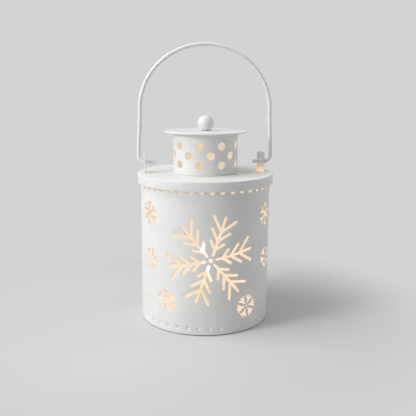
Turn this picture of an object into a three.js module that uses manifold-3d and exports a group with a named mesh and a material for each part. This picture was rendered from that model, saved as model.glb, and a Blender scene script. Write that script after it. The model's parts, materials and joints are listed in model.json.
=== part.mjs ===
// A small sheet-metal lantern: a rolled body with cut-out snowflakes, a pressed lid, two ear brackets
// that rise through it, a perforated chimney under a flat cap and ball knob, a wire bail, and an LED
// candle unit that clips into the base plate from below.
// Millimetres, +Z up. The origin is the middle of the bottom rim, the bail's hinge runs along X,
// and azimuths are counted from the front, -Y, towards +X.
import * as THREE from 'three';
import { mergeVertices } from 'three/addons/utils/BufferGeometryUtils.js';
import Module from 'manifold-3d';

const wasm = await Module();
wasm.setup();

const degree = Math.PI / 180;

// Clearances
const fitGap = 0.3;
const seatGap = 0.2;

// Body shell
const bodyRadius = 45;
const bodySheet = 0.5;
const bodyTop = 102.8;
const bodySides = 48;
const hemWidth = 1.2;
const hemHeight = 3;
const seamWidth = 5;
const seamSheet = 0.4;
const motifAzimuth = -2.8;

// Snowflakes, as sizes along one arm: where it starts, where pairs of branches leave it, how long
// the branches are, their angle, where the arm ends, and the hole in the middle. Caps are the
// angles of the points round a stroke's end, as seen along the stroke.
const largeFlake = {
  turn: 11, stroke: 1.85, start: 3.4, tip: 30.3,
  junctions: [7.5, 13.4, 19.8], branches: [7.6, 10.1, 12.7], angle: 42.5, dot: 1.2, caps: [90, 30],
};

// Small snowflakes: one kind has six arms that meet and end in a fork, the other has six petals
// round a pin hole.
const forkFlake = {
  stroke: 2, start: null, tip: null,
  junctions: [5], branches: [3.6], angle: 38, dot: 0, caps: [90],
};
const petalFlake = {
  stroke: 1.4, start: 2, tip: 8.2,
  junctions: [4.3], branches: [4], angle: 42, dot: 0.6, caps: [90],
};

// Where the snowflakes stand: an azimuth from the large one, a level as a share of the height, and
// the heading of the first arm.
const largeLevel = 0.508;
const smallFlakes = [
  { kind: forkFlake, azimuth: -61, level: 0.771, turn: 30 },
  { kind: petalFlake, azimuth: -58.5, level: 0.469, turn: 2 },
  { kind: forkFlake, azimuth: -39.8, level: 0.214, turn: 30 },
  { kind: petalFlake, azimuth: 33.6, level: 0.172, turn: 8 },
  { kind: forkFlake, azimuth: 60.4, level: 0.757, turn: 30 },
  { kind: petalFlake, azimuth: 62.4, level: 0.461, turn: 12 },
  { kind: forkFlake, azimuth: -104, level: 0.214, turn: 30 },
  { kind: forkFlake, azimuth: 104, level: 0.214, turn: 30 },
  { kind: petalFlake, azimuth: -98, level: 0.535, turn: 7 },
  { kind: petalFlake, azimuth: 98, level: 0.535, turn: 7 },
  { kind: forkFlake, azimuth: -134, level: 0.778, turn: 30 },
  { kind: forkFlake, azimuth: 134, level: 0.778, turn: 30 },
];

// Punched rows: one below the body's top edge, half hidden by the lid, and one above the base plate
const topHoles = { count: 41, radius: 1.75, phase: 0.4, sides: 6 };
const topHoleDrop = 6.2;
const pinHoles = { count: 39, radius: 0.75, phase: -0.9, sides: 4 };
const pinHoleRise = 1.1;

// Base plate
const plateSheet = 0.6;

// Lid
const lidOverhang = 2.1;
const lidSheet = 0.6;
const skirtHeight = 6.6;
const lidEdgeRound = 1;
const collarHeight = 2.8;

// Ear brackets: each has a foot on the body's wall, an arm under the lid and a standing tab that the
// bail hooks into. The right-hand tab stands twisted. The lid's slots are open towards the chimney.
const earSheet = 0.6;
const earWidth = 8;
const earHeight = 14;
const earCorner = 1.5;
const earHole = 2.1;
const earFootHeight = 3.7;
const earDrop = 0.6;
const earSlotReach = 4;
const leftEarInset = 4.8;
const rightEarInset = 7.5;
const ears = [
  { side: -1, inset: leftEarInset, twist: 0 },
  { side: 1, inset: rightEarInset, twist: 27 },
];

// Chimney, cap and knob
const chimneyRadius = 22.4;
const chimneySheet = 0.5;
const chimneyHeight = 27.2;
const chimneySides = 48;
const chimneyRows = [
  { level: 0.246, phase: -16.5 },
  { level: 0.482, phase: 3.5 },
  { level: 0.717, phase: -16.5 },
];
const chimneyHoles = { count: 9, radius: 2.7, sides: 8 };
const capOverhang = 6.3;
const capSheet = 1;
const lugHeight = 2.6;
const lugCount = 3;
const lugArc = 50;
const knobRadius = 5.6;
const knobFlat = 2.75;
const knobScrewRadius = 1.4;
const knobScrewDepth = 6;
const knobScrewHead = 3;
const knobScrewHeadHeight = 1.4;

// Wire bail
const wireRadius = 1.35;
const pivotRise = 7.2;
const legInset = 0.8;
const legSplay = 1.2;
const hookLength = 12.5;
const hookBend = 4.2;
const legRise = 36.2;
const archRise = 43.25;

// LED candle unit
const candleRadius = 19;
const candleWall = 1.2;
const candleTop = 24;
const candleFlangeReach = 3.5;
const candleFlangeEdge = 0.4;
const candleBottom = 1.7;
const candleShoulder = 1.2;
const candleDish = 1.1;
const candleDishRim = 2.5;
const candleDishSlope = 4.5;
const clipCount = 3;
const clipTurn = 30;
const clipWidth = 5;
const clipReach = 0.9;
const clipHeight = 1.5;
const closureSheet = 1.2;
const closureRim = 1.2;
const switchPlace = 0.4314;

// Battery, its door and its contacts
const cellRadius = 10;
const cellSheet = 3.2;
const cellStep = 0.5;
const cellRing = 1.4;
const cellPlay = 0.6;
const doorRimWall = 0.9;
const doorLugReach = 1.9;
const doorLugSheet = 0.7;
const doorLugWidth = 4;
const doorTurn = 40;
const coinSlotLength = 12;
const coinSlotWidth = 1.8;
const coinSlotDepth = 0.6;
const contactSpace = 3;
const contactSheet = 0.3;
const contactWidth = 3;
const contactFoot = 2.6;
const leafBack = 4;
const leafFront = 5;
const leafPress = 2.6;
const leafToe = 1.8;

// Circuit board and what it carries
const boardGap = 1.2;
const boardSheet = 1.2;
const bossRadius = 2.3;
const bossBite = 0.4;
const bossAngles = [55, -55];
const bossScrewRadius = 0.9;
const bossScrewHead = 1.8;
const bossScrewHeadHeight = 0.7;
const bossScrewLength = 5.5;
const bossScrewPoint = 0.6;
const restWidth = 3;
const restReach = 2.6;
const restHeight = 2;
const resistorSize = [3.2, 1.6, 0.6];
const resistorAt = [-5, 6];

// LED and flame; the flame's outline is radii and heights as shares of its own
const flameTip = 52;
const flameRadius = 3.9;
const flameWall = 0.7;
const flameSeatRadius = 4.6;
const flameSeatSheet = 1;
const flameOutline = [
  [0.82, 0.14], [0.95, 0.28], [1, 0.43], [0.92, 0.57], [0.74, 0.71], [0.46, 0.86], [0.2, 0.96],
];
const flameHollowTop = 0.8;
const flameLean = 5.4;
const flameLeanFrom = 0.18;
const flameLeanTo = 0.79;
const ledRadius = 1.5;
const ledFlange = 1.95;
const ledSink = 2.3;
const ledFlangeSheet = 1;
const ledHeight = 5.3;
const leadPitch = 2.54;
const leadSize = 0.5;
const leadTail = 1;
const leadContactGap = 0.85;

// Slide switch
const switchSize = [3.6, 8.6, 3.4];
const switchWall = 0.5;
const switchTravel = 2.4;
const sliderFoot = [2, 3.6, 1.5];
const sliderStem = [1.3, 2];
const sliderReach = 0.8;
const terminalCount = 3;
const terminalPitch = 2.5;
const terminalSize = [0.6, 0.3];
const terminalTail = 0.6;

// Levels and radii that follow from the sizes above
const bodyInner = bodyRadius - bodySheet;
const plateBottom = hemHeight + seatGap;
const plateTop = plateBottom + plateSheet;
const lidRadius = bodyRadius + lidOverhang;
const lidUnder = bodyTop + seatGap;
const lidTop = lidUnder + lidSheet;
const chimneyBottom = lidTop + seatGap;
const chimneyTop = chimneyBottom + chimneyHeight;
const chimneyInner = chimneyRadius - chimneySheet;
const collarRadius = chimneyInner - fitGap;
const capRadius = chimneyRadius + capOverhang;
const capUnder = chimneyTop + fitGap;
const capTop = capUnder + capSheet;
const pivotHeight = lidTop + pivotRise;
const legSpread = lidRadius - legInset;
const plateOpening = candleRadius + fitGap;
const candleInner = candleRadius - candleWall;
const candleCeiling = candleTop - candleDish - candleWall;
const closureTop = candleBottom + closureSheet;
const closureRadius = candleInner - fitGap;
const aboveClosure = closureTop + fitGap;
const cellTop = aboveClosure + cellSheet;
const doorRadius = cellRadius + cellPlay + doorRimWall;
const doorOpening = doorRadius + fitGap;
const cellX = closureRim + doorOpening - closureRadius;
const boardBottom = cellTop + contactSpace;
const boardTop = boardBottom + boardSheet;
const boardRadius = candleInner - boardGap;
const bossReach = candleInner - bossRadius + bossBite;
const ledBase = candleTop - ledSink - ledHeight;
const flameNeckRadius = ledRadius + fitGap + flameWall;
const contactFace = cellX + cellRadius + seatGap;
const flameX = contactFace - leadContactGap - leadSize / 2;
const openingEdge = cellX + doorOpening;
const switchX = openingEdge + switchPlace * (closureRadius - openingEdge);
const switchTop = aboveClosure + switchSize[2];

// Merges shared corners, drops flat triangles and turns the faces outwards.
function weld(geometry) {
  geometry.deleteAttribute('normal');
  geometry.deleteAttribute('uv');
  const merged = mergeVertices(geometry, 1e-4);
  const index = merged.index.array;
  const triangles = [];
  for (let i = 0; i < index.length; i += 3) {
    const [a, b, c] = [index[i], index[i + 1], index[i + 2]];
    if (a !== b && b !== c && c !== a) triangles.push([a, b, c]);
  }
  const corner = (i) => new THREE.Vector3().fromBufferAttribute(merged.attributes.position, i);
  let volume = 0;
  for (const [a, b, c] of triangles) volume += corner(a).dot(corner(b).cross(corner(c)));
  const outward = volume > 0 ? triangles : triangles.map(([a, b, c]) => [a, c, b]);
  merged.setIndex(outward.flat());
  return merged;
}

function toSolid(geometry) {
  const closed = weld(geometry);
  return new wasm.Manifold(new wasm.Mesh({
    numProp: 3,
    vertProperties: new Float32Array(closed.attributes.position.array),
    triVerts: new Uint32Array(closed.index.array),
  }));
}

function toGeometry(solid) {
  const mesh = solid.getMesh();
  const geometry = new THREE.BufferGeometry();
  geometry.setAttribute('position', new THREE.BufferAttribute(mesh.vertProperties, 3));
  geometry.setIndex(new THREE.BufferAttribute(mesh.triVerts, 1));
  return geometry;
}

const joined = (solids) => solids.reduce((sum, solid) => sum.add(solid));
const cut = (solid, cutters) => solid.subtract(joined(cutters));

// Turns an outline of [radius, height] points about the Z axis.
function revolve(outline, sides) {
  const points = [...outline, outline[0]].map(([r, z]) => new THREE.Vector2(r, z));
  return toSolid(new THREE.LatheGeometry(points, sides).rotateX(Math.PI / 2));
}

function block([x0, x1], [y0, y1], [z0, z1]) {
  const box = new THREE.BoxGeometry(x1 - x0, y1 - y0, z1 - z0);
  return toSolid(box.translate((x0 + x1) / 2, (y0 + y1) / 2, (z0 + z1) / 2));
}

function rod(radius, [z0, z1], sides, x = 0, y = 0) {
  const cylinder = new THREE.CylinderGeometry(radius, radius, z1 - z0, sides);
  return toSolid(cylinder.rotateX(Math.PI / 2).translate(x, y, (z0 + z1) / 2));
}

const centred = (middle, size) => [middle - size / 2, middle + size / 2];
const turned = (solid, angle) => solid.rotate([0, 0, angle]);
const range = (count) => Array.from({ length: count }, (_, i) => i);
const polar = (radius, angle) => [radius * Math.cos(angle * degree), radius * Math.sin(angle * degree)];

// A prism whose outline lies on a wall: u runs round it, w runs up, and it pierces the wall outwards.
function wallPrism(outline, azimuth, height, [innerRadius, outerRadius]) {
  const shape = new THREE.Shape(outline.map(([u, w]) => new THREE.Vector2(u, w)));
  const depth = outerRadius - innerRadius;
  const prism = new THREE.ExtrudeGeometry(shape, { depth, bevelEnabled: false });
  const a = azimuth * degree;
  const along = new THREE.Vector3(Math.cos(a), Math.sin(a), 0);
  const up = new THREE.Vector3(0, 0, 1);
  const outwards = new THREE.Vector3(Math.sin(a), -Math.cos(a), 0);
  const place = new THREE.Matrix4().makeBasis(along, up, outwards);
  place.setPosition(outwards.clone().multiplyScalar(innerRadius).setZ(height));
  return toSolid(prism.applyMatrix4(place));
}

// How far a cutter reaches on both sides of a thin wall.
const wallSpan = (radius) => [radius - 4, radius + 3];
const ngon = (radius, sides) => range(sides).map((i) => polar(radius, 90 + (360 * i) / sides));

// The outline of one arm that lies along the u axis, made for its upper side and then mirrored.
function armOutline({ stroke, start, tip, junctions, branches, angle, caps }) {
  const half = stroke / 2;
  const tilt = angle * degree;
  const cap = ([u, w], heading) => caps.map((turn) => {
    const [du, dw] = polar(half, heading + turn);
    return [u + du, w + dw];
  });
  const side = [];
  if (start !== null) side.push(...cap([start + half, 0], 180).map(([u, w]) => [u, -w]).reverse());
  else side.push([0, half]);
  const nearRoot = half * (Math.sin(tilt) - Math.tan(tilt / 2) * Math.cos(tilt));
  const farRoot = half * (Math.sin(tilt) + Math.cos(tilt) / Math.tan(tilt / 2));
  junctions.forEach((junction, i) => {
    const [du, dw] = polar(branches[i] - half, angle);
    const end = [junction + du, dw];
    const around = [...caps, ...caps.map((turn) => -turn).reverse()].map((turn) => {
      const [cu, cw] = polar(half, angle + turn);
      return [end[0] + cu, end[1] + cw];
    });
    side.push([junction - nearRoot, half], ...around);
    const last = i === junctions.length - 1;
    if (!last || tip !== null) side.push([junction + farRoot, half]);
  });
  const mirrored = side.map(([u, w]) => [u, -w]);
  if (tip !== null) {
    const tipCap = cap([tip - half, 0], 0);
    side.push(...tipCap);
    mirrored.push(...tipCap.map(([u, w]) => [u, -w]));
  } else {
    side.push([junctions[junctions.length - 1] + half / Math.sin(tilt), 0]);
  }
  return [...mirrored, ...side.reverse()];
}

// Lays an outline on the unrolled wall and then on the flat that touches it at the given place.
function ontoWall(outline, heading, radius, turnAway) {
  return outline.map(([u, w]) => {
    const [ru, rw] = polar(Math.hypot(u, w), heading + Math.atan2(w, u) / degree);
    return [radius * Math.sin(ru / radius - turnAway * degree), rw];
  });
}

// Cutters for one snowflake. A large one is cut arm by arm, each square to the wall at its middle.
function flakeCutters(flake, azimuth, height) {
  const outline = armOutline(flake);
  const large = flake === largeFlake;
  const cutters = range(6).map((arm) => {
    const heading = flake.turn + 60 * arm;
    const middle = large ? polar((flake.start + flake.tip) / 2, heading)[0] : 0;
    const away = middle / bodyRadius / degree;
    const laid = ontoWall(outline, heading, bodyRadius, away);
    return wallPrism(laid, azimuth + away, height, wallSpan(bodyRadius));
  });
  if (flake.dot > 0) cutters.push(wallPrism(ngon(flake.dot, 6), azimuth, height, wallSpan(bodyRadius)));
  return cutters;
}

// Cutters for a row of holes round a wall.
function rowCutters({ count, radius, sides, phase }, height, wallRadius) {
  return range(count).map((i) => (
    wallPrism(ngon(radius, sides), motifAzimuth + phase + (360 * i) / count, height, wallSpan(wallRadius))
  ));
}

function bodyShell() {
  const hemInner = bodyRadius - hemWidth;
  const wall = revolve([
    [hemInner, 0], [bodyRadius, 0], [bodyRadius, bodyTop], [bodyInner, bodyTop],
    [bodyInner, hemHeight], [hemInner, hemHeight],
  ], bodySides);
  const seamBottom = plateTop + fitGap;
  const topHoleHeight = bodyTop - topHoleDrop;
  const seamTop = topHoleHeight - topHoles.radius - fitGap;
  const seam = block(
    centred(0, seamWidth), [bodyInner - seamSheet, bodyInner + bodySheet / 2], [seamBottom, seamTop],
  );
  return cut(wall.add(seam), [
    ...flakeCutters(largeFlake, motifAzimuth, bodyTop * largeLevel),
    ...smallFlakes.flatMap(({ kind, azimuth, level, turn }) => (
      flakeCutters({ ...kind, turn }, motifAzimuth + azimuth, bodyTop * level)
    )),
    ...rowCutters(topHoles, topHoleHeight, bodyRadius),
    ...rowCutters(pinHoles, plateTop + pinHoleRise, bodyRadius),
  ]);
}

function basePlate() {
  return revolve([
    [plateOpening, plateBottom], [bodyInner - fitGap, plateBottom],
    [bodyInner - fitGap, plateTop], [plateOpening, plateTop],
  ], bodySides);
}

// An ear's tab stands on its arm's underside and has rounded shoulders and a hole for the wire.
function earTab(armBottom, place, twist) {
  const half = earWidth / 2;
  const rise = lidTop + earHeight - armBottom;
  const tab = new THREE.Shape();
  tab.moveTo(-half, 0);
  tab.lineTo(half, 0);
  tab.lineTo(half, rise - earCorner);
  tab.absarc(half - earCorner, rise - earCorner, earCorner, 0, Math.PI / 2);
  tab.absarc(earCorner - half, rise - earCorner, earCorner, Math.PI / 2, Math.PI);
  tab.closePath();
  const hole = new THREE.Path();
  hole.absarc(0, pivotHeight - armBottom, earHole, 0, 2 * Math.PI, true);
  tab.holes.push(hole);
  const plate = new THREE.ExtrudeGeometry(tab, { depth: earSheet, bevelEnabled: false, curveSegments: 6 });
  plate.translate(0, 0, -earSheet / 2);
  plate.rotateX(Math.PI / 2);
  plate.rotateZ(Math.PI / 2 + twist * degree);
  plate.translate(place, 0, armBottom);
  return toSolid(plate);
}

function earBracket({ side, inset, twist }) {
  const half = earWidth / 2;
  const place = side * (lidRadius - inset);
  const armTop = lidUnder - earDrop;
  const armBottom = armTop - earSheet;
  const wall = Math.sqrt(bodyInner ** 2 - half ** 2) * Math.cos(Math.PI / bodySides) - seatGap;
  const [along, across] = polar(half, 90 + twist);
  const arm = new THREE.Shape([
    [place + along, across], [side * wall, half], [side * wall, -half], [place - along, -across],
  ].map(([x, y]) => new THREE.Vector2(x, y)));
  const shelf = new THREE.ExtrudeGeometry(arm, { depth: earSheet, bevelEnabled: false });
  const footSpan = [side * wall, side * (wall - earSheet)].sort((low, high) => low - high);
  return joined([
    earTab(armBottom, place, twist),
    toSolid(shelf.translate(0, 0, armBottom)),
    block(footSpan, centred(0, earWidth), [armTop - earFootHeight, armTop]),
  ]);
}

function earSlot({ side, inset, twist }) {
  const [tabAlong] = polar(earWidth / 2, 90 - Math.abs(twist));
  const [tabThick] = polar(earSheet / 2, twist);
  const ends = [-earSheet / 2 - earSlotReach, tabAlong + tabThick + fitGap];
  const along = ends.map((end) => side * (lidRadius - inset + end)).sort((low, high) => low - high);
  return block(along, centred(0, earWidth + 2 * fitGap), [lidUnder - 1, lidTop + 1]);
}

function lid() {
  const skirtBottom = lidTop - skirtHeight;
  const skirtInner = lidRadius - lidSheet;
  const lipInner = bodyRadius + fitGap;
  const round = range(4).map((i) => {
    const [dr, dz] = polar(lidEdgeRound, 30 * i);
    return [lidRadius - lidEdgeRound + dr, lidTop - lidEdgeRound + dz];
  });
  const pressing = revolve([
    [collarRadius - lidSheet, lidUnder], [skirtInner, lidUnder],
    [skirtInner, skirtBottom + lidSheet], [lipInner, skirtBottom + lidSheet],
    [lipInner, skirtBottom], [lidRadius - lidSheet / 2, skirtBottom],
    [lidRadius, skirtBottom + lidSheet / 2], ...round,
    [collarRadius, lidTop], [collarRadius, lidTop + collarHeight],
    [collarRadius - lidSheet, lidTop + collarHeight],
  ], bodySides);
  return cut(pressing, ears.map(earSlot));
}

function chimneyDrum() {
  const drum = revolve([
    [chimneyInner, chimneyBottom], [chimneyRadius, chimneyBottom],
    [chimneyRadius, chimneyTop], [chimneyInner, chimneyTop],
  ], chimneySides);
  return cut(drum, chimneyRows.flatMap(({ level, phase }) => (
    rowCutters({ ...chimneyHoles, phase }, chimneyBottom + chimneyHeight * level, chimneyRadius)
  )));
}

// The cap is a flat disc with three bent lugs that locate it inside the drum.
function chimneyCap() {
  const edge = capSheet / 2;
  const disc = revolve([
    [knobScrewRadius + fitGap, capUnder], [capRadius - edge, capUnder], [capRadius, capUnder + edge],
    [capRadius - edge, capTop], [knobScrewRadius + fitGap, capTop],
  ], chimneySides);
  const lugOuter = chimneyInner - fitGap;
  const lugInner = lugOuter - chimneySheet;
  const lugShape = new THREE.Shape();
  const half = (lugArc / 2) * degree;
  lugShape.absarc(0, 0, lugOuter, -half, half);
  lugShape.absarc(0, 0, lugInner, half, -half, true);
  lugShape.closePath();
  const lugs = range(lugCount).map((i) => {
    const lug = new THREE.ExtrudeGeometry(lugShape, {
      depth: lugHeight + capSheet / 2, bevelEnabled: false, curveSegments: 5,
    });
    return turned(toSolid(lug.translate(0, 0, capUnder - lugHeight)), (360 * i) / lugCount);
  });
  return joined([disc, ...lugs]);
}

function knobBall() {
  const flatAngle = Math.asin(knobFlat / knobRadius) / degree;
  const flatHeight = capTop + seatGap;
  const centre = flatHeight + knobRadius * Math.cos(flatAngle * degree);
  const bore = knobScrewRadius + fitGap / 2;
  const boreTop = capTop + knobScrewDepth + fitGap;
  const steps = 10;
  const arc = range(steps).map((i) => {
    const [r, z] = polar(knobRadius, flatAngle - 90 + (i * (180 - flatAngle)) / steps);
    return [r, centre + z];
  });
  const crown = [0, centre + knobRadius];
  return revolve([[0, boreTop], [bore, boreTop], [bore, flatHeight], ...arc, crown], 20);
}

function knobScrew() {
  const headTop = capUnder - seatGap;
  return revolve([
    [0, headTop - knobScrewHeadHeight], [knobScrewHead * 0.7, headTop - knobScrewHeadHeight],
    [knobScrewHead, headTop - knobScrewHeadHeight / 2], [knobScrewHead, headTop],
    [knobScrewRadius, headTop], [knobScrewRadius, capTop + knobScrewDepth],
    [0, capTop + knobScrewDepth],
  ], 14);
}

// A curve that is sampled at its own points, close together in the bends and far apart between them.
class StationCurve extends THREE.CatmullRomCurve3 {
  getPointAt(u, target) {
    return this.getPoint(u, target);
  }

  getTangentAt(u, target) {
    return this.getTangent(u, target);
  }
}

function bailHandle() {
  const hookEnd = legSpread - hookLength;
  const archSpread = legSpread - legSplay;
  const bendX = legSpread - hookBend;
  const bendZ = pivotHeight + hookBend;
  const archBottom = pivotHeight + legRise;
  const half = [[hookEnd, pivotHeight], [(hookEnd + bendX) / 2, pivotHeight]];
  for (const i of range(7)) {
    const [dx, dz] = polar(hookBend, -90 + 15 * i);
    half.push([bendX + dx, bendZ + dz]);
  }
  for (const share of [0.1, 0.5, 0.9]) {
    half.push([
      legSpread - legSplay * share,
      bendZ + (archBottom - bendZ) * share,
    ]);
  }
  for (const i of range(12)) {
    half.push([archSpread * Math.cos(7.5 * i * degree), archBottom + archRise * Math.sin(7.5 * i * degree)]);
  }
  const top = [0, archBottom + archRise];
  const mirrored = half.map(([x, z]) => [-x, z]).reverse();
  const stations = [...half, top, ...mirrored].map(([x, z]) => new THREE.Vector3(x, 0, z));
  const path = new StationCurve(stations);
  const section = new THREE.Shape(ngon(wireRadius, 10).map(([x, y]) => new THREE.Vector2(x, y)));
  const wire = new THREE.ExtrudeGeometry(section, { extrudePath: path, steps: stations.length - 1 });
  return toSolid(wire);
}

// The candle's housing is a tub, open below, with a flange under the base plate, clips above it,
// a dished top with the flame's hole, bosses for the closure's screws and a rest for the board.
function candleHousing() {
  const flangeTop = plateBottom - seatGap;
  const flange = candleRadius + candleFlangeReach;
  const tub = revolve([
    [candleInner, candleBottom], [flange, candleBottom], [flange, flangeTop - candleFlangeEdge],
    [flange - candleFlangeEdge, flangeTop], [candleRadius, flangeTop],
    [candleRadius, candleTop - candleShoulder],
    [candleRadius - candleShoulder / 3, candleTop - candleShoulder / 3],
    [candleRadius - candleShoulder, candleTop], [candleRadius - candleDishRim, candleTop],
    [candleRadius - candleDishRim - candleDishSlope, candleTop - candleDish],
    [0, candleTop - candleDish], [0, candleCeiling], [candleInner, candleCeiling],
  ], 36);
  const clips = range(clipCount).map((i) => turned(block(
    [candleRadius - candleWall / 2, candleRadius + clipReach], centred(0, clipWidth),
    [plateTop + seatGap, plateTop + seatGap + clipHeight],
  ), clipTurn + (360 * i) / clipCount));
  const bossSpan = [aboveClosure, boardBottom - fitGap];
  const bosses = bossAngles.map((angle) => rod(bossRadius, bossSpan, 12, ...polar(bossReach, angle)));
  const rest = block(
    [-candleInner - candleWall / 2, restReach - candleInner], centred(0, restWidth),
    [bossSpan[1] - restHeight, bossSpan[1]],
  );
  const outside = rod(candleRadius + 2 * clipReach, [candleBottom, candleTop], 40)
    .subtract(rod(candleRadius - candleWall / 2, [candleBottom - 1, candleTop + 1], 40));
  const bores = bossAngles.map((angle) => (
    rod(bossScrewRadius + fitGap / 2, [bossSpan[0] - 1, bossSpan[1] + 1], 8, ...polar(bossReach, angle))
  ));
  const flameHole = rod(flameNeckRadius + fitGap, [candleCeiling - 1, candleTop], 16, flameX);
  const inner = joined([...bosses, rest]).subtract(outside);
  return cut(joined([tub, ...clips, inner]), [...bores, flameHole]);
}

// The flame is a hollow translucent form that leans over to one side on its way up.
function flameBulb() {
  const seatTop = candleCeiling - seatGap;
  const seatBottom = seatTop - flameSeatSheet;
  const bore = flameNeckRadius - flameWall;
  const height = flameTip - candleTop;
  const outside = flameOutline.map(([r, z]) => [r * flameRadius, candleTop + z * height]);
  const inside = outside.filter(([, z]) => z < candleTop + flameHollowTop * height)
    .map(([r, z]) => [r - flameWall, z]).reverse();
  const upright = new THREE.LatheGeometry([
    [bore, seatBottom], [flameSeatRadius, seatBottom], [flameSeatRadius, seatTop],
    [flameNeckRadius, seatTop], [flameNeckRadius, candleTop],
    ...outside, [0, flameTip], [0, candleTop + flameHollowTop * height],
    ...inside, [bore, candleTop], [bore, seatBottom],
  ].map(([r, z]) => new THREE.Vector2(r, z)), 16).rotateX(Math.PI / 2);
  const place = upright.attributes.position;
  const leanSpan = [flameLeanFrom, flameLeanTo].map((share) => candleTop + share * height);
  for (const i of range(place.count)) {
    const climb = THREE.MathUtils.smoothstep(place.getZ(i), ...leanSpan);
    place.setX(i, place.getX(i) + flameX - flameLean * climb);
  }
  return toSolid(upright);
}

function led() {
  const domeBase = ledBase + ledHeight - ledRadius;
  const dome = range(4).map((i) => {
    const [r, z] = polar(ledRadius, 22.5 * i);
    return [r, domeBase + z];
  });
  return revolve([
    [0, ledBase], [ledFlange, ledBase], [ledFlange, ledBase + ledFlangeSheet],
    [ledRadius, ledBase + ledFlangeSheet], ...dome, [0, ledBase + ledHeight],
  ], 12).translate([flameX, 0, 0]);
}

const leadPlaces = [-1, 1].map((side) => [flameX, (side * leadPitch) / 2]);
const terminalPlaces = range(terminalCount).map((i) => (
  [switchX, (i - (terminalCount - 1) / 2) * terminalPitch]
));

function ledLeads() {
  return leadPlaces.map(([x, y]) => (
    block(centred(x, leadSize), centred(y, leadSize), [boardBottom - leadTail, ledBase - seatGap])
  ));
}

function circuitBoard() {
  const disc = rod(boardRadius, [boardBottom, boardTop], 32);
  const drill = ([x, y], size) => (
    block(centred(x, size + fitGap), centred(y, size + fitGap), [boardBottom - 1, boardTop + 1])
  );
  return cut(disc, [
    ...leadPlaces.map((place) => drill(place, leadSize)),
    ...terminalPlaces.map((place) => drill(place, terminalSize[0])),
  ]);
}

function resistor() {
  const [length, width, height] = resistorSize;
  const bottom = boardTop + seatGap;
  return block(centred(resistorAt[0], length), centred(resistorAt[1], width), [bottom, bottom + height]);
}

function coinCell() {
  const cap = cellRadius - cellRing;
  return revolve([
    [0, aboveClosure], [cellRadius - cellStep, aboveClosure], [cellRadius, aboveClosure + cellStep],
    [cellRadius, cellTop - cellStep], [cap, cellTop - cellStep], [cap, cellTop], [0, cellTop],
  ], 32).translate([cellX, 0, 0]);
}

// A leaf under the board that presses on the middle of the cell.
function negativeContact() {
  const back = cellX - leafBack;
  const press = cellX + leafPress;
  const toe = press + leafToe;
  const above = boardBottom - seatGap;
  const below = cellTop + seatGap;
  const leaf = new THREE.Shape([
    [back, above], [cellX + leafFront, above], [cellX + leafFront, above - contactSheet],
    [back + 1.5 * contactSheet, above - contactSheet], [press, below + contactSheet],
    [toe, below + contactSheet], [toe, below], [press, below], [back, above - contactSheet],
  ].map(([x, z]) => new THREE.Vector2(x, z)));
  const strip = new THREE.ExtrudeGeometry(leaf, { depth: contactWidth, bevelEnabled: false });
  return toSolid(strip.rotateX(Math.PI / 2).translate(0, contactWidth / 2, 0));
}

// A strip that hangs from the board and springs against the cell's rim.
function positiveContact() {
  const top = boardBottom - seatGap;
  const aboveDoor = aboveClosure + doorLugSheet + fitGap;
  return joined([
    block([contactFace, contactFace + contactSheet], centred(0, contactWidth), [aboveDoor, top]),
    block([contactFace, contactFace + contactFoot], centred(0, contactWidth), [top - contactSheet, top]),
  ]);
}

// The closure plate carries the bayonet opening of the battery door and the switch's slot.
function candleClosure() {
  const plate = rod(closureRadius, [candleBottom, closureTop], 40);
  const through = [candleBottom - 1, closureTop + 1];
  const opening = rod(doorOpening, through, 32, cellX);
  const notchHalf = doorRadius + doorLugReach + fitGap;
  const notch = turned(
    block(centred(0, doorLugWidth + 2 * fitGap), [-notchHalf, notchHalf], through), doorTurn,
  ).translate([cellX, 0, 0]);
  const slotLength = sliderStem[1] + switchTravel + 2 * fitGap;
  const slot = block(centred(switchX, sliderStem[0] + 2 * fitGap), centred(0, slotLength), through);
  const screwHoles = bossAngles.map((angle) => (
    rod(bossScrewRadius + fitGap, through, 8, ...polar(bossReach, angle))
  ));
  return cut(plate, [opening, notch, slot, ...screwHoles]);
}

// The door turns to unlock: its two lugs ride above the closure plate and leave through the notches.
function batteryDoor() {
  const lugTop = aboveClosure + doorLugSheet;
  const reach = doorRadius + doorLugReach;
  const rim = rod(doorRadius, [candleBottom, lugTop], 32);
  const lugs = block(centred(0, doorLugWidth), [-reach, reach], [aboveClosure, lugTop]);
  const well = rod(doorRadius - doorRimWall, [closureTop, lugTop + 1], 32);
  const coinSlot = block(
    centred(0, coinSlotLength), centred(0, coinSlotWidth),
    [candleBottom - 1, candleBottom + coinSlotDepth],
  );
  return cut(joined([rim, lugs]), [well, coinSlot]).translate([cellX, 0, 0]);
}

function closureScrews() {
  const headTop = candleBottom - seatGap / 2;
  return bossAngles.map((angle) => revolve([
    [0, headTop - bossScrewHeadHeight], [bossScrewHead * 0.7, headTop - bossScrewHeadHeight],
    [bossScrewHead, headTop - bossScrewHeadHeight / 3], [bossScrewHead, headTop],
    [bossScrewRadius, headTop], [bossScrewRadius, headTop + bossScrewLength - bossScrewPoint],
    [0, headTop + bossScrewLength],
  ], 12).translate([...polar(bossReach, angle), 0]));
}

function switchHousing() {
  const [width, length, height] = switchSize;
  const cavityBottom = aboveClosure + switchWall;
  const outer = block(centred(switchX, width), centred(0, length), [aboveClosure, switchTop]);
  const cavity = block(
    centred(switchX, sliderFoot[0] + 2 * fitGap), centred(0, sliderFoot[1] + switchTravel + 2 * fitGap),
    [cavityBottom, aboveClosure + height - switchWall],
  );
  const slot = block(
    centred(switchX, sliderStem[0] + 2 * fitGap), centred(0, sliderStem[1] + switchTravel + 2 * fitGap),
    [aboveClosure - 1, cavityBottom + 0.1],
  );
  return cut(outer, [cavity, slot]);
}

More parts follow.
